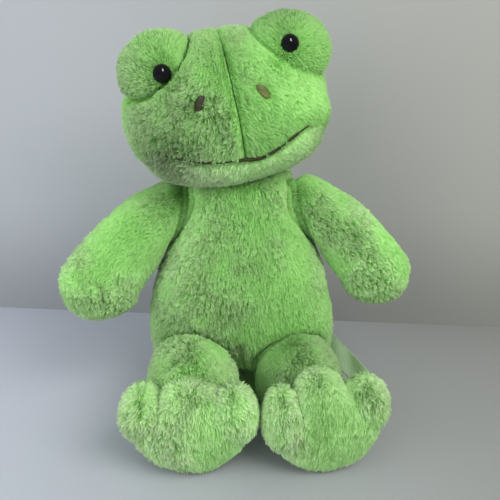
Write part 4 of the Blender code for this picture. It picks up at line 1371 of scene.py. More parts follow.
    def above_torso(self, ways: Array, reach: Array) -> Array:
        """Holds the underside of the head clear of the top of the torso."""
        low, high = np.full(len(ways), 0.02), reach.copy()
        world = self.matrix()
        inside = self.torso.outside_by(moved(ways * reach[:, None], world)) < -INSET / 2
        for _ in range(14):
            half = (low + high) / 2
            outside = self.torso.outside_by(moved(ways * half[:, None], world)) > -INSET / 2
            low, high = np.where(outside, half, low), np.where(outside, high, half)
        return np.where(inside, low, reach)

    def sculpt(self, form: Form) -> None:
        """Presses in the seams of the face, the mouth and the eyes, combs the pile around them, and paints
        shade under the chin.
        """
        p = form.points
        x, y, z = p.T
        front = ramp(-y, -0.005, 0.015)
        above = ramp(z - self.smile_height(x), -0.002, 0.004)
        centre = bump(x, 0.0016) * front * above
        mouth = bump(z - self.smile_height(x), 0.0022) * front * (1 - ramp(self.mouth_share(x), 0.97, 1.15))
        back_seam = bump(y - self.seam_back, 0.0018)
        lumps = 0.0009 * cloudy(p, 0.028, 5.2)
        cheek = np.linalg.norm(p - np.array((0.086, -0.012, -0.006)), axis=1)
        lumps += 0.0045 * bump(cheek, 0.034)
        form.press(self.centre_crease * centre + 0.0012 * mouth + 0.0008 * back_seam + lumps)
        form.growth *= 1 - 0.25 * mouth - 0.2 * back_seam
        form.growth *= 1 - 0.75 * bump(x, 0.0022) * front * above
        form.cover *= 1 - 0.70 * bump(x, 0.0009) * front * above
        form.calm *= 1 - 0.8 * bump(x, 0.0040) * front * above
        side = np.sign(x)
        form.lay = np.stack([side * (0.35 + 0.3 * ramp(np.abs(x), 0, 0.05)), 0 * x, -0.75 - 0 * z], 1)
        form.lay[:, 0] += side * 0.55 * bump(x, 0.0035) * front * above
        for each in Side:
            inward, rise = self.eye_spot(each)
            eye = np.array(self.mound_place(each)) + np.array((-each.value * inward, -0.033, rise))
            away = p - eye
            far = np.linalg.norm(away[:, [0, 2]], axis=1)
            near = np.linalg.norm(p - np.array(self.mound_place(each)), axis=1) < 0.0385
            fan = 0.65 * away / np.maximum(np.linalg.norm(away, axis=1), 1e-4)[:, None]
            fan *= (0.15 + 0.85 * ramp(far, self.eye_radius, 2.6 * self.eye_radius))[:, None]
            form.lay[near] = fan[near]
            socket = (y < -0.02) & near
            form.cover[socket] *= ramp(far[socket], self.eye_radius * 0.74, self.eye_radius * 0.88)
            form.growth[socket] *= 0.55 + 0.45 * ramp(far[socket], self.eye_radius, self.eye_radius * 1.9)
        self.clear_nostrils(form)
        # Painted shade under the head: the chin darker towards the back, where it turns under towards the
        # neck
        form.light -= self.chin_fade * ramp(y, -0.062, -0.028) * self.in_chin(p)
        line = np.abs(z - self.smile_height(x))
        line_share = (1 - ramp(line, 0.0010, 0.0020)) * (1 - ramp(self.mouth_share(x), 0.98, 1.04))
        form.cover *= 1 - line_share * front * (0.9 + 0.1 * ramp(x, -0.02, 0.01))

    def clear_nostrils(self, form: Form) -> None:
        """Leaves the pile off the embroidered nostrils."""
        p = form.points
        for side in Side:
            across, up = self.nostril_spot(p, side)
            wide, _, high = self.nostril_halves
            far = np.sqrt((across / wide) ** 2 + (up / high) ** 2)
            spot = 1 - ramp(far, 0.9, 1.25)
            form.cover *= 1 - spot * (p[:, 1] < 0)
            form.growth *= 1 - 0.45 * (1 - ramp(far, 1.0, 2.2)) * (p[:, 1] < 0)

    def nostril_spot(self, points: Array, side: Side) -> tuple[Array, Array]:
        """How far across and up from a nostril's middle each point lies, along its lean."""
        out = self.nostril_out_left if side is Side.LEFT else self.nostril_out_right
        dx, dz = points[:, 0] - side.value * out, points[:, 2] - self.nostril_rise
        lean = side.value * self.nostril_lean
        return dx * math.cos(lean) + dz * math.sin(lean), -dx * math.sin(lean) + dz * math.cos(lean)

    def build(self, sewing: Sewing, needle: Needle) -> None:
        """Makes the head's pieces."""
        for side in Side:
            self.eye(side)
            self.nostril(needle, side)
        self.mouth(needle)
        form = self.form()
        inside = -self.torso.outside_by(form.points)
        form.cover *= 1 - ramp(inside, 0.004, 0.007)
        world = self.matrix()
        form.ruffled([
            (world @ Vector((0.050, -0.055, -0.010)), 0.040, -0.85),
            (world @ Vector((-0.055, -0.045, -0.015)), 0.040, 0.45),
            (world @ Vector((-0.020, -0.060, -0.025)), 0.020, 0.25),
            (world @ Vector((0.010, -0.060, -0.055)), 0.040, -0.30),
            (world @ Vector((0.052, -0.034, 0.044)), 0.034, -0.60),
            (world @ Vector((-0.038, -0.040, 0.044)), 0.018, -0.55),
            (world @ Vector((-0.078, -0.020, 0.045)), 0.018, 0.5),
        ])
        # Painted light and shade patch by patch: the frog's left cheek lighter; its right cheek, both ends of
        # the chin, the mounds and the brow between them darker
        form.toned([
            (world @ Vector((-0.055, -0.045, -0.012)), 0.034, -0.40),
            (world @ Vector((0.055, -0.050, -0.005)), 0.034, 0.20),
            (world @ Vector((0.050, -0.020, 0.066)), 0.030, -0.36),
            (world @ Vector((0.072, -0.030, -0.030)), 0.022, -0.24),
            (world @ Vector((-0.060, -0.045, -0.040)), 0.024, -0.20),
            (world @ Vector((-0.060, -0.030, 0.050)), 0.030, -0.12),
            (world @ Vector((-0.010, -0.040, 0.055)), 0.026, -0.20),
        ])
        fillings = ["head_filling", "head_back_panel", "chin_panel", "left_face_panel", "right_face_panel"]
        fillings += ["left_eye_mound_panel", "right_eye_mound_panel"]
        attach(sewing.sew(form, fillings), "head")
        naps = {
            Panel.FRONT_LEFT: ("left_face_panel_pile", Nap()),
            Panel.FRONT_RIGHT: ("right_face_panel_pile", Nap()),
            Panel.CHIN: ("chin_panel_pile", Nap(finish=CHIN_PILE_PAINTED_LIGHTER)),
            Panel.BACK_LEFT: ("head_back_panel_pile", Nap()),
            Panel.MOUND_LEFT: ("left_eye_mound_panel_pile", Nap()),
            Panel.MOUND_RIGHT: ("right_eye_mound_panel_pile", Nap()),
        }
        for panel, (name, nap) in naps.items():
            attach(sewing.grow(name, form, panel, nap), "head")

    def on_face(self, x: Array, z: Array, lift: float) -> tuple[Array, Array]:
        """Places on the front of the face, in the world.

        Args:
            x: distances from the middle of the face.
            z: heights from the middle of the head.
            lift: how far out of the stuffed form they lie.

        Returns:
            The places and the outward directions there.
        """
        low, high = np.full(len(x), 0.0), np.full(len(x), 0.12)
        for _ in range(30):
            y = -(low + high) / 2
            spot = np.stack([x, y, z], 1)
            far = np.linalg.norm(spot, axis=1)
            inside = far < self.reaches(spot / far[:, None], lift - INSET)[0]
            low, high = np.where(inside, -y, low), np.where(inside, high, -y)
        spot = np.stack([x, -low, z], 1)
        step = 0.001
        slope = []
        for axis in range(3):
            more = spot.copy()
            more[:, axis] += step
            far = np.linalg.norm(more, axis=1)
            slope.append(far - self.reaches(more / far[:, None], lift - INSET)[0])
        out = np.stack(slope, 1)
        out -= (
            (np.linalg.norm(spot, axis=1)
            - self.reaches(spot / np.linalg.norm(spot, axis=1)[:, None], lift - INSET)[0])[:, None]
        )
        out /= np.linalg.norm(out, axis=1)[:, None]
        return moved(spot, self.matrix()), turned(out, self.matrix())

    def eye_matrix(self, side: Side) -> Matrix:
        """On the front of a mound, the local +Z pointing out along the eye's shank."""
        wide, deep, high = self.mound_size(side)
        inward, rise = self.eye_spot(side)
        depth = deep * math.sqrt(1 - (inward / wide) ** 2 - (rise / high) ** 2)
        place = Matrix.Translation((-side.value * inward, -depth + self.eye_sink, rise))
        mound = self.matrix() @ Matrix.Translation(self.mound_place(side))
        return mound @ place @ Matrix.Rotation(math.pi / 2, 4, "X")

    def eye(self, side: Side, segments: int = 64, steps: int = 20) -> None:
        """A glossy domed eye with a thin rolled rim, and its shank."""
        name = f"{side.label}_eye"
        profile = []
        for step in range(1, steps + 1):
            angle = math.pi / 2 * step / steps
            profile.append((self.eye_radius * math.sin(angle), self.eye_dome * math.cos(angle)))
        for step in range(1, 7):
            angle = math.pi * step / 6
            roll = self.eye_rim / 2
            profile.append((self.eye_radius + roll * 0.4 * math.sin(angle), -roll + roll * math.cos(angle)))
        profile += [(0.0021, -self.eye_rim), (0.0021, -0.0080), (0.0016, -0.0084)]
        points = [(0, 0, self.eye_dome)]
        for radius, height in profile:
            for k in range(segments):
                angle = 2 * math.pi * k / segments
                points.append((radius * math.cos(angle), radius * math.sin(angle), height))
        points.append((0, 0, profile[-1][1]))
        mesh = bpy.data.meshes.new(name)
        mesh.from_pydata(points, [], tube_faces(len(profile), segments))
        mesh.flip_normals()
        mesh.transform(self.eye_matrix(side))
        mesh.shade_smooth()
        made = bpy.data.objects.new(name + "_dome", mesh)
        bpy.context.scene.collection.objects.link(made)
        BLACK_EYE.dress(made)
        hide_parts(name)
        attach(made, "head")
        WASHER.dress(frame["nodes"][f"{side.label}_eye_washer"])

    def nostril(self, needle: Needle, side: Side) -> None:
        """An embroidered nostril: a low pad under threads laid side by side."""
        out = self.nostril_out_left if side is Side.LEFT else self.nostril_out_right
        wide, deep, high = self.nostril_halves
        lean = side.value * self.nostril_lean
        t = np.linspace(-0.97, 0.97, 41)
        x = side.value * out - math.sin(lean) * t * high
        z = self.nostril_rise + math.cos(lean) * t * high
        places, outward = self.on_face(x, z, 0.0030)
        # The left nostril's thread is painted lit; the right keeps the dark thread
        finish = PAINTED_LIT_THREAD if side is Side.LEFT else DARK_THREAD
        name = f"{side.label}_nostril_embroidery"
        row = needle.row(f"{name}_threads", places, outward, np.sqrt(1 - t**2), finish, 0.00060, 2 * wide,
                         0.00085,
                         across=True, wander=0.06)
        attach(row, "head")
        ways, faces = ball_ways(4)
        middle, straight = self.on_face(np.array([side.value * out]), np.array([self.nostril_rise]), 0.0024)
        frame_of = self.matrix() @ Matrix.Rotation(-lean, 4, "Y")
        points = turned(ways * np.array((wide * 1.02, deep, high * 1.02)), frame_of) + middle
        mesh = bpy.data.meshes.new(name)
        mesh.from_pydata(points.tolist(), [], faces)
        mesh.shade_smooth()
        pad = bpy.data.objects.new(f"{name}_pad", mesh)
        bpy.context.scene.collection.objects.link(pad)
        finish.dress(pad)
        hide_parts(name)
        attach(pad, "head")

    def mouth(self, needle: Needle) -> None:
        """The stitched smile, partly lost in the pile."""
        t = np.linspace(-1, 1, 181)
        x = t * np.where(t > 0, self.mouth_half_left, self.mouth_half_right)
        places, outward = self.on_face(x, self.smile_height(x), 0.0040)
        reach, weight = np.zeros(len(t)), np.full(len(t), 0.6)
        for start, end, thick in self.mouth_stretches:
            here = (t >= start) & (t <= end)
            reach[here], weight[here] = 1.0, thick
        row = needle.row("mouth_embroidery_stitches", places, outward, reach, DARK_THREAD, 0.0016, 0.0027,
                         0.0025,
                         wander=0.12, weight=weight)
        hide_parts("mouth_embroidery")
        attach(row, "head")


@dataclass
class Neck:
    """The firm wad of filling between the torso and the head, covered in backing fabric."""

    radius: float = 0.031

    def build(self) -> None:
        """Makes the neck."""
        ways, faces = ball_ways(5)
        place = np.array(joint_place("head_turn"))
        wrinkles = 1 - 0.012 * (1 + cloudy(ways, 0.3, 6.0))
        mesh = bpy.data.meshes.new("neck_wad")
        mesh.from_pydata((place + ways * (self.radius * wrinkles)[:, None]).tolist(), [], faces)
        mesh.shade_smooth()
        made = bpy.data.objects.new("neck_wad", mesh)
        bpy.context.scene.collection.objects.link(made)
        BACKING.dress(made)
        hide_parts("neck_filling")
        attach(made, "neck")


@dataclass
class Label:
    """The bare satin ribbon in the seam at the frog's left hip."""

    torso: Torso
    width: float = 0.019
    length: float = 0.060
    sewn_in: float = 0.005
    thickness: float = 0.0005
    height: float = 0.048
    outward: float = math.radians(44)
    drop: float = math.radians(30)
    roll: float = math.radians(-36)
    sag: float = 0.0015
    across: int = 24
    along: int = 80

    def matrix(self) -> Matrix:
        """From the ribbon's own frame, which runs along +X, to its place."""
        wide = self.torso.half_sizes(np.array([self.height]))[0][0]
        place = Matrix.Translation(root_place() + Vector((wide, 0, self.height)))
        turn = (
            Matrix.Rotation(-self.outward, 4, "Z") @ Matrix.Rotation(self.drop, 4, "Y")
            @ Matrix.Rotation(self.roll, 4, "X")
        )
        return place @ turn

    def place(self, u: Array, v: Array) -> Array:
        """A point of the ribbon, across it from 0 to 1 and along it from 0 to 1."""
        x = -self.sewn_in + (self.length + self.sewn_in) * v
        bow = self.sag * np.sin(math.pi * v) * 0.6 + 0.0007 * np.sin(2 * math.pi * (u * 0.7 + v * 1.6))
        return np.stack([x, bow, (u - 0.5) * self.width], 1)

    def build(self, needle: Needle) -> None:
        """Makes the ribbon and the stitches of its edges."""
        u, v = np.meshgrid(np.linspace(0, 1, self.across + 1), np.linspace(0, 1, self.along + 1))
        u, v = u.ravel(), v.ravel()
        row = self.across + 1
        faces = [
            (r * row + k, r * row + k + 1, (r + 1) * row + k + 1, (r + 1) * row + k)
            for r in range(self.along)
            for k in range(self.across)
        ]
        mesh = bpy.data.meshes.new("satin_label_ribbon")
        mesh.from_pydata(moved(self.place(u, v), self.matrix()).tolist(), [], faces)
        layer = mesh.uv_layers.new(name="ribbon")
        for loop in mesh.loops:
            layer.data[loop.index].uv = (
                u[loop.vertex_index], v[loop.vertex_index] * self.length / self.width
            )
        mesh.shade_smooth()
        ribbon = bpy.data.objects.new("satin_label_ribbon", mesh)
        bpy.context.scene.collection.objects.link(ribbon)
        thick = ribbon.modifiers.new("thickness", "SOLIDIFY")
        thick.thickness = self.thickness
        thick.offset = 0
        SATIN.dress(ribbon)
        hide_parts("satin_label")
        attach(ribbon, "torso")
        t = np.linspace(0.02, 0.985, 60)
        for name, edge in (("upper", 0.94), ("lower", 0.06)):
            places = moved(self.place(np.full(60, edge), t), self.matrix())
            out = np.tile(turned(np.array([[0, -1, 0]]), self.matrix()), (60, 1))
            hem = needle.row(f"satin_label_{name}_hem", places + out * 0.0003, out, np.ones(60), HEM_THREAD,
                             0.0016, 0.0015, 0.0004, wander=0.05)
            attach(hem, "torso")


@dataclass
class Arm:
    """A mitten arm along an arc that leaves the shoulder and bends down to the hand."""

    side: Side
    length: float
    start_drop: float
    yaw: float
    creases: tuple
    patches: tuple
    tones: tuple
    bend: float = math.radians(40)
    half_thickness: float = 0.0273
    half_depth: float = 0.0245
    hand_round_share: float = 0.20
    shares: tuple = (
        (0.00, 0.56, 0.52),
        (0.06, 0.78, 0.70),
        (0.13, 0.92, 0.84),
        (0.25, 1.00, 0.95),
        (0.40, 1.07, 1.01),
        (0.58, 1.12, 1.00),
        (0.72, 1.14, 0.95),
        (0.86, 1.18, 0.96),
        (1.00, 1.10, 0.90),
    )
    root: float = 0.020
    rings: int = 96
    segments: int = 88
    bend_start: float = 0.004
    bend_end: float = 0.034

    def outward(self) -> Vector:
        """The level direction in which the arm leaves the body."""
        return Vector((self.side.value * math.cos(self.yaw), -math.sin(self.yaw), 0))

    def shoulder(self) -> Vector:
        """The middle of the shoulder."""
        return joint_place(f"{self.side.label}_arm_swing")

    def at(self, length: float) -> tuple[Vector, Vector, Vector]:
        """The middle line of the arm.

        Args:
            length: how far along the arm.

        Returns:
            The place, the direction along the arm and the direction out of its upper side.
        """
        curve = self.bend / self.length
        angle = self.start_drop + curve * length
        out = self.outward()
        along = (math.sin(angle) - math.sin(self.start_drop)) / curve
        down = (math.cos(self.start_drop) - math.cos(angle)) / curve
        place = self.shoulder() + out * along - UP * down
        return (
            place, out * math.cos(angle) - UP * math.sin(angle), out * math.sin(angle) + UP * math.cos(angle)
        )

    def form(self) -> Form:
        """The stuffed arm."""
        where = 0.5 - 0.5 * np.cos(np.linspace(0, math.pi, self.rings + 1))[1:-1]
        table = smooth_rows(self.shares, where)
        top = rounded_off(where, self.hand_round_share)
        reach = self.length - INSET
        through = np.array(self.outward().cross(UP))
        angle = 2 * math.pi * (np.arange(self.segments) + 0.5) / self.segments
        loops, ways = [], []
        for share, (thick, deep), round_off in zip(where, table, top):
            middle, along, rise = self.at(-self.root + (reach + self.root) * share)
            high = max(thick * round_off * self.half_thickness - INSET, 0.0008)
            wide = max(deep * round_off * self.half_depth - INSET, 0.0008)
            ring = np.outer(np.cos(angle) * high, rise) + np.outer(np.sin(angle) * wide, through)
            loops.append(ring + np.array(middle))
            ways.append(np.tile(along, (self.segments, 1)))
        ends = [np.array([self.at(-self.root)[0]]), np.array([self.at(reach)[0]])]
        points = np.vstack([ends[0], *loops, ends[1]])
        form = Form(
            f"{self.side.label}_arm_stuffed", f"{self.side.label}_arm", points,
            tube_faces(len(where), self.segments)
        )
        form.lay = 0.85 * np.vstack([ways[0][:1], *ways, ways[-1][:1]])
        away = (form.middles() - np.array(self.shoulder())) @ through
        form.panel = np.where(away * self.side.value > 0, Panel.FRONT_LEFT.value, Panel.BACK_LEFT.value)
        return form

    def sculpt(self, form: Form, torso: Torso) -> None:
        """Presses in the seam, the creases of the hand and the lumps of the filling, and paints shade into
        the creases.
        """
        p = form.points
        through = np.array(self.outward().cross(UP))
        seam = bump((p - np.array(self.shoulder())) @ through, 0.0016)
        depth = 0.0008 * seam + 0.0011 * cloudy(p, 0.026, 9.1)
        for start, end, deep, wide in self.creases:
            line = np.array([self.on_front(*start), self.on_front(*end)])
            near = bump(to_line(p, line), wide)
            depth += deep * near
            form.growth *= 1 - 0.5 * near
            form.cover *= 1 - 0.5 * near
            # Painted shade in the creases
            form.light -= 0.25 * near
        form.press(depth)
        form.growth *= 1 - 0.15 * seam
        beside = torso.outside_by(form.points)
        form.cover *= ramp(beside, -0.010, -0.006)
        form.seamed(np.maximum(beside + 0.001, -0.002))

    def on_front(self, share: float, height: float) -> Vector:
        """A place on the arm's front, at a share of its length and of its half-thickness."""
        middle, _, rise = self.at(share * self.length)
        side = self.outward().cross(UP) * self.side.value
        return (
            middle + rise * height * self.half_thickness + side * self.half_depth * 0.85
            * math.sqrt(1 - height**2)
        )

    def build(self, sewing: Sewing, torso: Torso) -> None:
        """Makes the arm's pieces, sewn across the shoulder."""
        form = self.form()
        self.sculpt(form, torso)
        form.ruffled(
            [(self.on_front(share, height), radius, change) for share, height, radius, change in self.patches]
        )
        # Painted light and shade along the arm: lighter where light falls on it, darker where shade falls
        form.toned(
            [(self.at(share * self.length)[0], radius, change) for share, radius, change in self.tones]
        )
        label = self.side.label
        nodes = [f"{label}_arm_front_panel", f"{label}_arm_back_panel", f"{label}_arm_filling"]
        joint = Joint("torso", form.body, self.at(self.bend_start)[0], self.at(self.bend_end)[0])
        joint.carry(sewing.sew(form, nodes))
        for panel, name in ((Panel.FRONT_LEFT, "front"), (Panel.BACK_LEFT, "back")):
            joint.carry(sewing.grow(f"{label}_arm_{name}_panel_pile", form, panel, Nap()))


@dataclass
class Leg:
    """A short thick tube from the hip to the ankle."""

    side: Side
    # Painted light on the whole pile of the leg: a negative value paints it darker, as shade
    light: float = 0.0
    half_width: float = 0.0385
    half_height: float = 0.0425
    shares: tuple = (
        (0.00, 0.90, 0.92),
        (0.30, 1.00, 1.00),
        (0.65, 0.97, 0.97),
        (0.85, 0.88, 0.90),
        (1.00, 0.78, 0.80),
    )
    root: float = 0.008
    rings: int = 64
    segments: int = 104
    bend_start: float = 0.006
    bend_end: float = 0.034

    def hip(self) -> Vector:
        """The middle of the hip."""
        return joint_place(f"{self.side.label}_hip_lift")

    def ankle(self) -> Vector:
        """The middle of the ankle."""
        return joint_place(f"{self.side.label}_ankle_bend")

    def along(self) -> Vector:
        """The direction from the hip to the ankle."""
        return (self.ankle() - self.hip()).normalized()

    def length(self) -> float:
        """From the hip to the ankle."""
        return (self.ankle() - self.hip()).length

    def form(self) -> Form:
        """The stuffed leg."""
        where = np.linspace(0, 1, self.rings)
        table = smooth_rows(self.shares, where)
        close = rounded_off(where, 0.08) * rounded_off(1 - where, 0.08)
        across = np.array(self.along().cross(UP))
        angle = 2 * math.pi * (np.arange(self.segments) + 0.5) / self.segments
        loops = []
        start, end = -self.root, self.length() + 0.002
        for share, (wide, high), shut in list(zip(where, table, close))[1:-1]:
            middle = np.array(self.hip() + self.along() * (start + (end - start) * share))
            halves = max(wide * self.half_width - INSET, 0.001) * shut, max(
                high * self.half_height - INSET, 0.001
            ) * shut
            ring = np.outer(np.cos(angle) * halves[0], across) + np.outer(np.sin(angle) * halves[1], UP)
            loops.append(middle + ring)
        first = np.array([self.hip() + self.along() * start])
        last = np.array([self.hip() + self.along() * end])
        label = self.side.label
        faces = [face[::-1] for face in tube_faces(len(loops), self.segments)]
        form = Form(f"{label}_leg_stuffed", f"{label}_leg", np.vstack([first, *loops, last]), faces)
        form.points[:, 2] = np.maximum(form.points[:, 2], 0.0024)
        form.lay = np.tile(0.55 * np.array(self.along()) + np.array((0, 0, -0.45)), (len(form.points), 1))
        return form

    def build(self, sewing: Sewing, torso: Torso, foot: Callable[[Array], Array]) -> None:
        """Makes the leg's pieces, sewn across the hip."""
        form = self.form()
        depth = 0.0011 * cloudy(form.points, 0.028, 4.4) * ramp(form.points[:, 2], 0.003, 0.01)
        form.press(depth)
        beside = torso.outside_by(form.points)
        form.cover *= ramp(beside, -0.008, -0.004)
        form.seamed(np.maximum(beside, -0.002), depth=0.002)
        form.cover *= ramp(foot(form.points), -0.008, -0.004)
        form.growth *= 0.35 + 0.65 * ramp(form.points[:, 2], 0.003, 0.011)
        top = self.hip() + self.along() * 0.03 + UP * self.half_height
        inner = top - UP * 0.010 - Vector((self.side.value * 0.022, 0, 0))
        outer = top - UP * 0.010 + Vector((self.side.value * 0.022, 0, 0))
        form.ruffled([(inner, 0.020, -0.6), (outer, 0.022, 0.35)])
        # Painted shade on the whole leg where its light is negative
        form.light += self.light
        label = self.side.label
        place = self.hip() + self.along() * self.bend_start, self.hip() + self.along() * self.bend_end
        joint = Joint("torso", form.body, *place)
        joint.carry(sewing.sew(form, [f"{label}_leg_tube", f"{label}_leg_filling"]))
        joint.carry(sewing.grow(f"{label}_leg_tube_pile", form, Panel.FRONT_LEFT, Nap(), floor=True))


@dataclass
class Foot:
    """A three-toed foot, toes up and sole forward."""

    side: Side
    lean: float
    yaw: float
    roll: float
    height: float
    toes: tuple
    furrows: tuple
    tuck: float
    aside: float = 0.0
    # Painted light on the whole pile of the foot: a negative value paints it darker, as shade
    light: float = 0.0
    forward: float = 0.020
    heel_aside: float = 0.0
    heel_halves: tuple = (0.0415, 0.0235, 0.036)
    sole_halves: tuple = (0.050, 0.022, 0.026)
    sole_rise: float = 0.007
    toe_depth: float = 0.021
    toe_forward: float = 0.002
    inset: float = 0.0050
    sharpness: float = 7
    levels: int = 6
    furrow_width: float = 0.0046
    furrow_low: float = 0.002

    def lobes(self) -> list[tuple]:
        """The middle and the half-sizes of each lobe."""
        heel = ((self.heel_aside, 0, 0), self.heel_halves)
        sole = ((0.3 * self.heel_aside, 0, self.sole_rise), self.sole_halves)
        return [heel, sole] + [
            ((x, -self.toe_forward, z), (wide, self.toe_depth, high)) for x, z, wide, high in self.toes
        ]

    def reach(self, ways: Array, grow: float) -> Array:
        """How far the foot reaches along directions from its middle."""
        return blended(
            [reach_of(ways, np.array(p, float), np.array(h) + grow) for p, h in self.lobes()], self.sharpness
        )

    def matrix(self) -> Matrix:
        """From the foot's own middle to its place at rest."""
        turn = (
            Matrix.Rotation(self.yaw, 4, "Z") @ Matrix.Rotation(-self.lean, 4, "X")
            @ Matrix.Rotation(self.roll, 4, "Y")
        )
        ankle = joint_place(f"{self.side.label}_ankle_bend")
        place = ankle + Vector((math.sin(self.yaw), -math.cos(self.yaw), 0)) * self.forward
        place.x += self.aside
        place.z = self.height
        return Matrix.Translation(place) @ turn

    def outside_by(self, points: Array) -> Array:
        """About how far each point lies outside the pile tips; negative inside."""
        own = moved(points, self.matrix().inverted())
        far = np.linalg.norm(own, axis=1)
        return far - self.reach(own / np.maximum(far, 1e-6)[:, None], 0)

    def surface(self, levels: int, grow: float) -> tuple[Array, list[tuple]]:
        """The foot around its own middle, its lower sole tucked back under it."""
        ways, faces = ball_ways(levels)
        points = ways * self.reach(ways, grow)[:, None]
        points[:, 1] += self.tuck * ramp(-points[:, 2], -0.006, 0.036) * ramp(-points[:, 1], -0.012, 0.010)
        return points, faces

    def form(self) -> Form:
        """The stuffed foot, flat where it stands."""
        label = self.side.label
        form = Form(f"{label}_foot_stuffed", f"{label}_foot", *self.surface(self.levels, -self.inset))
        self.sculpt(form)
        form.panel = np.where(form.middles()[:, 1] < 0, Panel.FRONT_LEFT.value, Panel.BACK_LEFT.value)
        form.points = moved(form.points, self.matrix())
        form.lay = turned(form.lay, self.matrix())
        form.points[:, 2] = np.maximum(form.points[:, 2], 0.0022)
        return form

    def sculpt(self, form: Form) -> None:
        """Presses in the furrows between the toes and the seam round the foot."""
        p = form.points
        x, y, z = p.T
        depth = 0.0010 * cloudy(p, 0.022, 2.2 + self.side.value) + 0.0008 * bump(y, 0.0018)
        for top, bottom, deep in self.furrows:
            middle = bottom + (top - bottom) * ramp(z, 0.0, 0.036)
            furrow = bump(x - middle, self.furrow_width) * ramp(z, self.furrow_low, self.furrow_low + 0.024)
            depth += deep * furrow
            form.growth *= 1 - 0.2 * furrow
        form.press(depth)
        form.lay = np.stack([0.30 * x / 0.04, 0 * y, -1.35 + 0 * z], 1)

    def build(self, sewing: Sewing, leg: Leg) -> None:
        """Makes the foot's pieces."""
        form = self.form()
        own = leg.hip() + leg.along() * 0.04, leg.ankle() + leg.along() * 0.004
        line = np.array([tuple(place) for place in own])
        form.cover *= ramp(to_line(form.points, line), leg.half_width * 0.62, leg.half_width * 0.72)
        form.growth *= 0.4 + 0.6 * ramp(form.points[:, 2], 0.003, 0.010)
        # Painted shade on the whole foot where its light is negative
        form.light += self.light
        middle = self.matrix() @ Vector((0.006, -0.022, 0.004))
        outer = self.matrix() @ Vector((-0.035, -0.018, 0.010))
        if self.side is Side.LEFT:
            form.ruffled(
                [(middle, 0.028, -0.9), (self.matrix() @ Vector((0.030, -0.015, 0.026)), 0.012, 0.4)]
            )
        else:
            form.ruffled(
                [(outer, 0.030, 0.35), (self.matrix() @ Vector((0.030, -0.015, -0.010)), 0.022, -0.5)]
            )
        label = self.side.label
        nodes = [f"{label}_foot_{part}" for part in ("sole_panel", "upper_panel", "filling")]
        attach(sewing.sew(form, nodes), form.body)
        for panel, name, finish in (
            (Panel.FRONT_LEFT, "sole", LIGHT_PILE), (Panel.BACK_LEFT, "upper", GREEN_PILE)
        ):
            nap = Nap(finish=finish, length=0.0064)
            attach(sewing.grow(f"{label}_foot_{name}_panel_pile", form, panel, nap, floor=True), form.body)


@dataclass
class Studio:
    """The floor, the backdrop, the soft lights and the camera."""

    camera_place: tuple = (0.0076, -0.4347, 0.2900)
    camera_down: float = math.radians(17)
    lens: float = 38.9
    backdrop_behind: float = 0.2146
    backdrop_slant: float = 0.098

    def build(self) -> None:
        """Makes the studio."""
        self.surface("studio_floor", ((-3, -3, 0), (3, -3, 0), (3, 3, 0), (-3, 3, 0)), FLOOR)
        left, right = (self.backdrop_behind - x * self.backdrop_slant for x in (-3, 3))
        self.surface("studio_wall", ((-3, left, 0), (3, right, 0), (3, right, 3), (-3, left, 3)), WALL)
        self.lamp("key", (0.70, -0.75, 0.95), 0.8, 10.5, (1.0, 0.98, 0.95))
        self.lamp("fill", (-0.8, -0.9, 0.40), 1.2, 8.5, (0.96, 0.98, 1.0))
        self.lamp("glint", (0.24, -0.82, 0.94), 0.20, 16.0, (1.0, 1.0, 1.0), tall=2.6, mirrored=True)
        world = bpy.data.worlds.new("studio")
        world.use_nodes = True
        world.node_tree.nodes["Background"].inputs["Color"].default_value = (0.90, 0.95, 1.0, 1)
        world.node_tree.nodes["Background"].inputs["Strength"].default_value = 0.55
        bpy.context.scene.world = world
        eye = bpy.data.cameras.new("camera")
        eye.lens = self.lens
        eye.sensor_width = 36
        eye.clip_start = 0.01
        camera = bpy.data.objects.new("camera", eye)
        bpy.context.scene.collection.objects.link(camera)
        camera.location = self.camera_place
        camera.rotation_euler = (math.pi / 2 - self.camera_down, 0, 0)
        bpy.context.scene.camera = camera
        bpy.context.scene.view_settings.view_transform = "Standard"

    def surface(self, name: str, corners: tuple, finish: Finish) -> None:
        """A flat surface of the studio."""
        mesh = bpy.data.meshes.new(name)
        mesh.from_pydata(corners, [], [(0, 1, 2, 3)])
        mesh.materials.append(finish.material())
        made = bpy.data.objects.new(name, mesh)
        bpy.context.scene.collection.objects.link(made)

    def lamp(
        self, name: str, place: tuple, size: float, power: float, colour: Colour,
        tall: float = 1.0, mirrored: bool = False,
    ) -> None:
        """A soft lamp that faces the frog's chest.

        Args:
            name: its name.
            place: where it hangs.
            size: its width.
            power: its power in watts.
            colour: its colour.
            tall: its height as a multiple of its width.
            mirrored: whether it shows in glossy surfaces, and lights nothing else.
        """
        light = bpy.data.lights.new(name, "AREA")
        light.shape = "RECTANGLE"
        light.size, light.size_y, light.energy, light.color = size, size * tall, power, colour
        made = bpy.data.objects.new(name, light)
        bpy.context.scene.collection.objects.link(made)
        made.location = place
        made.visible_glossy = mirrored
        made.visible_diffuse = not mirrored
        way = Vector((0, 0, 0.17)) - Vector(place)
        made.rotation_euler = way.to_track_quat("-Z", "Y").to_euler()


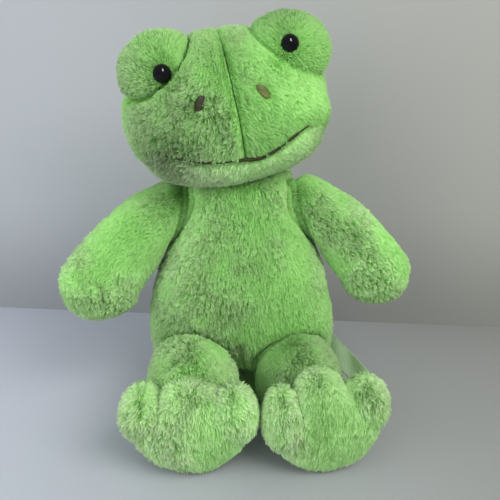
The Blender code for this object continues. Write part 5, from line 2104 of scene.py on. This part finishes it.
def main() -> None:
    """Builds the frog's sub-assemblies in order, and the studio around it."""
    blade = strand()
    sewing = Sewing(PileGrowth(), blade, share=1.0)
    stitch = stitch_shape()
    needle = Needle(StitchGrowth(), stitch)
    torso = Torso()
    arms = [
        Arm(
            Side.LEFT, 0.134, math.radians(27), 0.0,
            creases=(((0.80, 0.1), (0.97, 0.2), 0.003, 0.003),),
            patches=(
                (0.20, 0.0, 0.018, 0.35),
                (0.48, 0.1, 0.020, 0.60),
                (0.70, -0.1, 0.020, 0.60),
                (0.90, -0.3, 0.018, 0.50),
                (0.62, 0.9, 0.024, -0.80),
                (0.42, -0.8, 0.020, -0.60),
            ),
            # Painted shade by the shoulder, painted light on the ridge and the hand
            tones=((0.18, 0.028, -0.12), (0.48, 0.028, 0.22), (0.75, 0.030, 0.22)),
        ),
        Arm(
            Side.RIGHT, 0.139, math.radians(25), math.radians(24),
            creases=(
                ((0.74, 0.15), (0.86, -0.25), 0.006, 0.0040), ((0.86, -0.25), (0.96, -0.55), 0.004, 0.0035)
            ),
            patches=((0.85, 0.0, 0.035, 0.30), (0.42, 0.0, 0.036, -0.55), (0.12, 0.0, 0.02, 0.25)),
            # Painted light on the hand
            tones=((0.80, 0.045, 0.16), (0.45, 0.03, 0.06)),
            shares=(
                (0.00, 0.42, 0.34),
                (0.06, 0.62, 0.52),
                (0.13, 0.84, 0.72),
                (0.25, 1.00, 0.92),
                (0.40, 1.08, 1.01),
                (0.58, 1.16, 1.01),
                (0.72, 1.23, 0.96),
                (0.86, 1.29, 0.97),
                (1.00, 1.20, 0.91),
            ),
        ),
    ]
    narrow = (
        (0.00, 0.92, 0.92), (0.30, 0.94, 1.00), (0.65, 0.78, 0.96), (0.85, 0.64, 0.88), (1.00, 0.55, 0.78)
    )
    # The left leg's pile is painted 20% darker, as shade
    legs = [Leg(Side.LEFT, light=-0.20, shares=narrow), Leg(Side.RIGHT)]
    feet = [
        Foot(
            Side.LEFT, math.radians(12), math.radians(12), 0.0, 0.0362,
            toes=(
                (-0.0352, 0.0118, 0.0170, 0.0247), (-0.0073, 0.0191, 0.0225, 0.0288),
                (0.0324, 0.0166, 0.0172, 0.0210)
            ),
            furrows=((-0.0260, -0.0270, 0.0012), (0.0135, 0.0225, 0.0026)),
            # The left foot's pile is painted 10% darker, as shade
            tuck=0.0032, aside=-0.0007, light=-0.10,
            heel_halves=(0.0442, 0.0235, 0.036), sole_halves=(0.0400, 0.022, 0.026),
        ),
        Foot(
            Side.RIGHT, math.radians(4), math.radians(-4), math.radians(-3), 0.0355,
            toes=(
                (-0.0347, 0.0176, 0.0175, 0.0210), (-0.0007, 0.0134, 0.0240, 0.0238),
                (0.0335, 0.0154, 0.0180, 0.0235)
            ),
            furrows=((-0.0210, -0.0210, 0.0032), (0.0240, 0.0290, 0.0004)),
            tuck=0.0020, aside=0.0011, heel_aside=-0.0013,
            heel_halves=(0.0445, 0.0235, 0.036), sole_halves=(0.0470, 0.022, 0.026),
        ),
    ]
    limbs = [(np.array([arm.at(0.0)[0], arm.at(0.03)[0]]), 0.0215) for arm in arms]
    limbs += [(np.array([leg.hip(), leg.hip() + leg.along() * 0.03]), 0.0365) for leg in legs]
    torso.build(sewing, limbs)
    Head(torso).build(sewing, needle)
    Neck().build()
    Label(torso).build(needle)
    for arm in arms:
        arm.build(sewing, torso)
    for leg, foot in zip(legs, feet):
        leg.build(sewing, torso, foot.outside_by)
        foot.build(sewing, leg)
    for template in (blade, stitch):
        bpy.data.objects.remove(template, do_unlink=True)
    Studio().build()


if __name__ == "__main__":
    main()
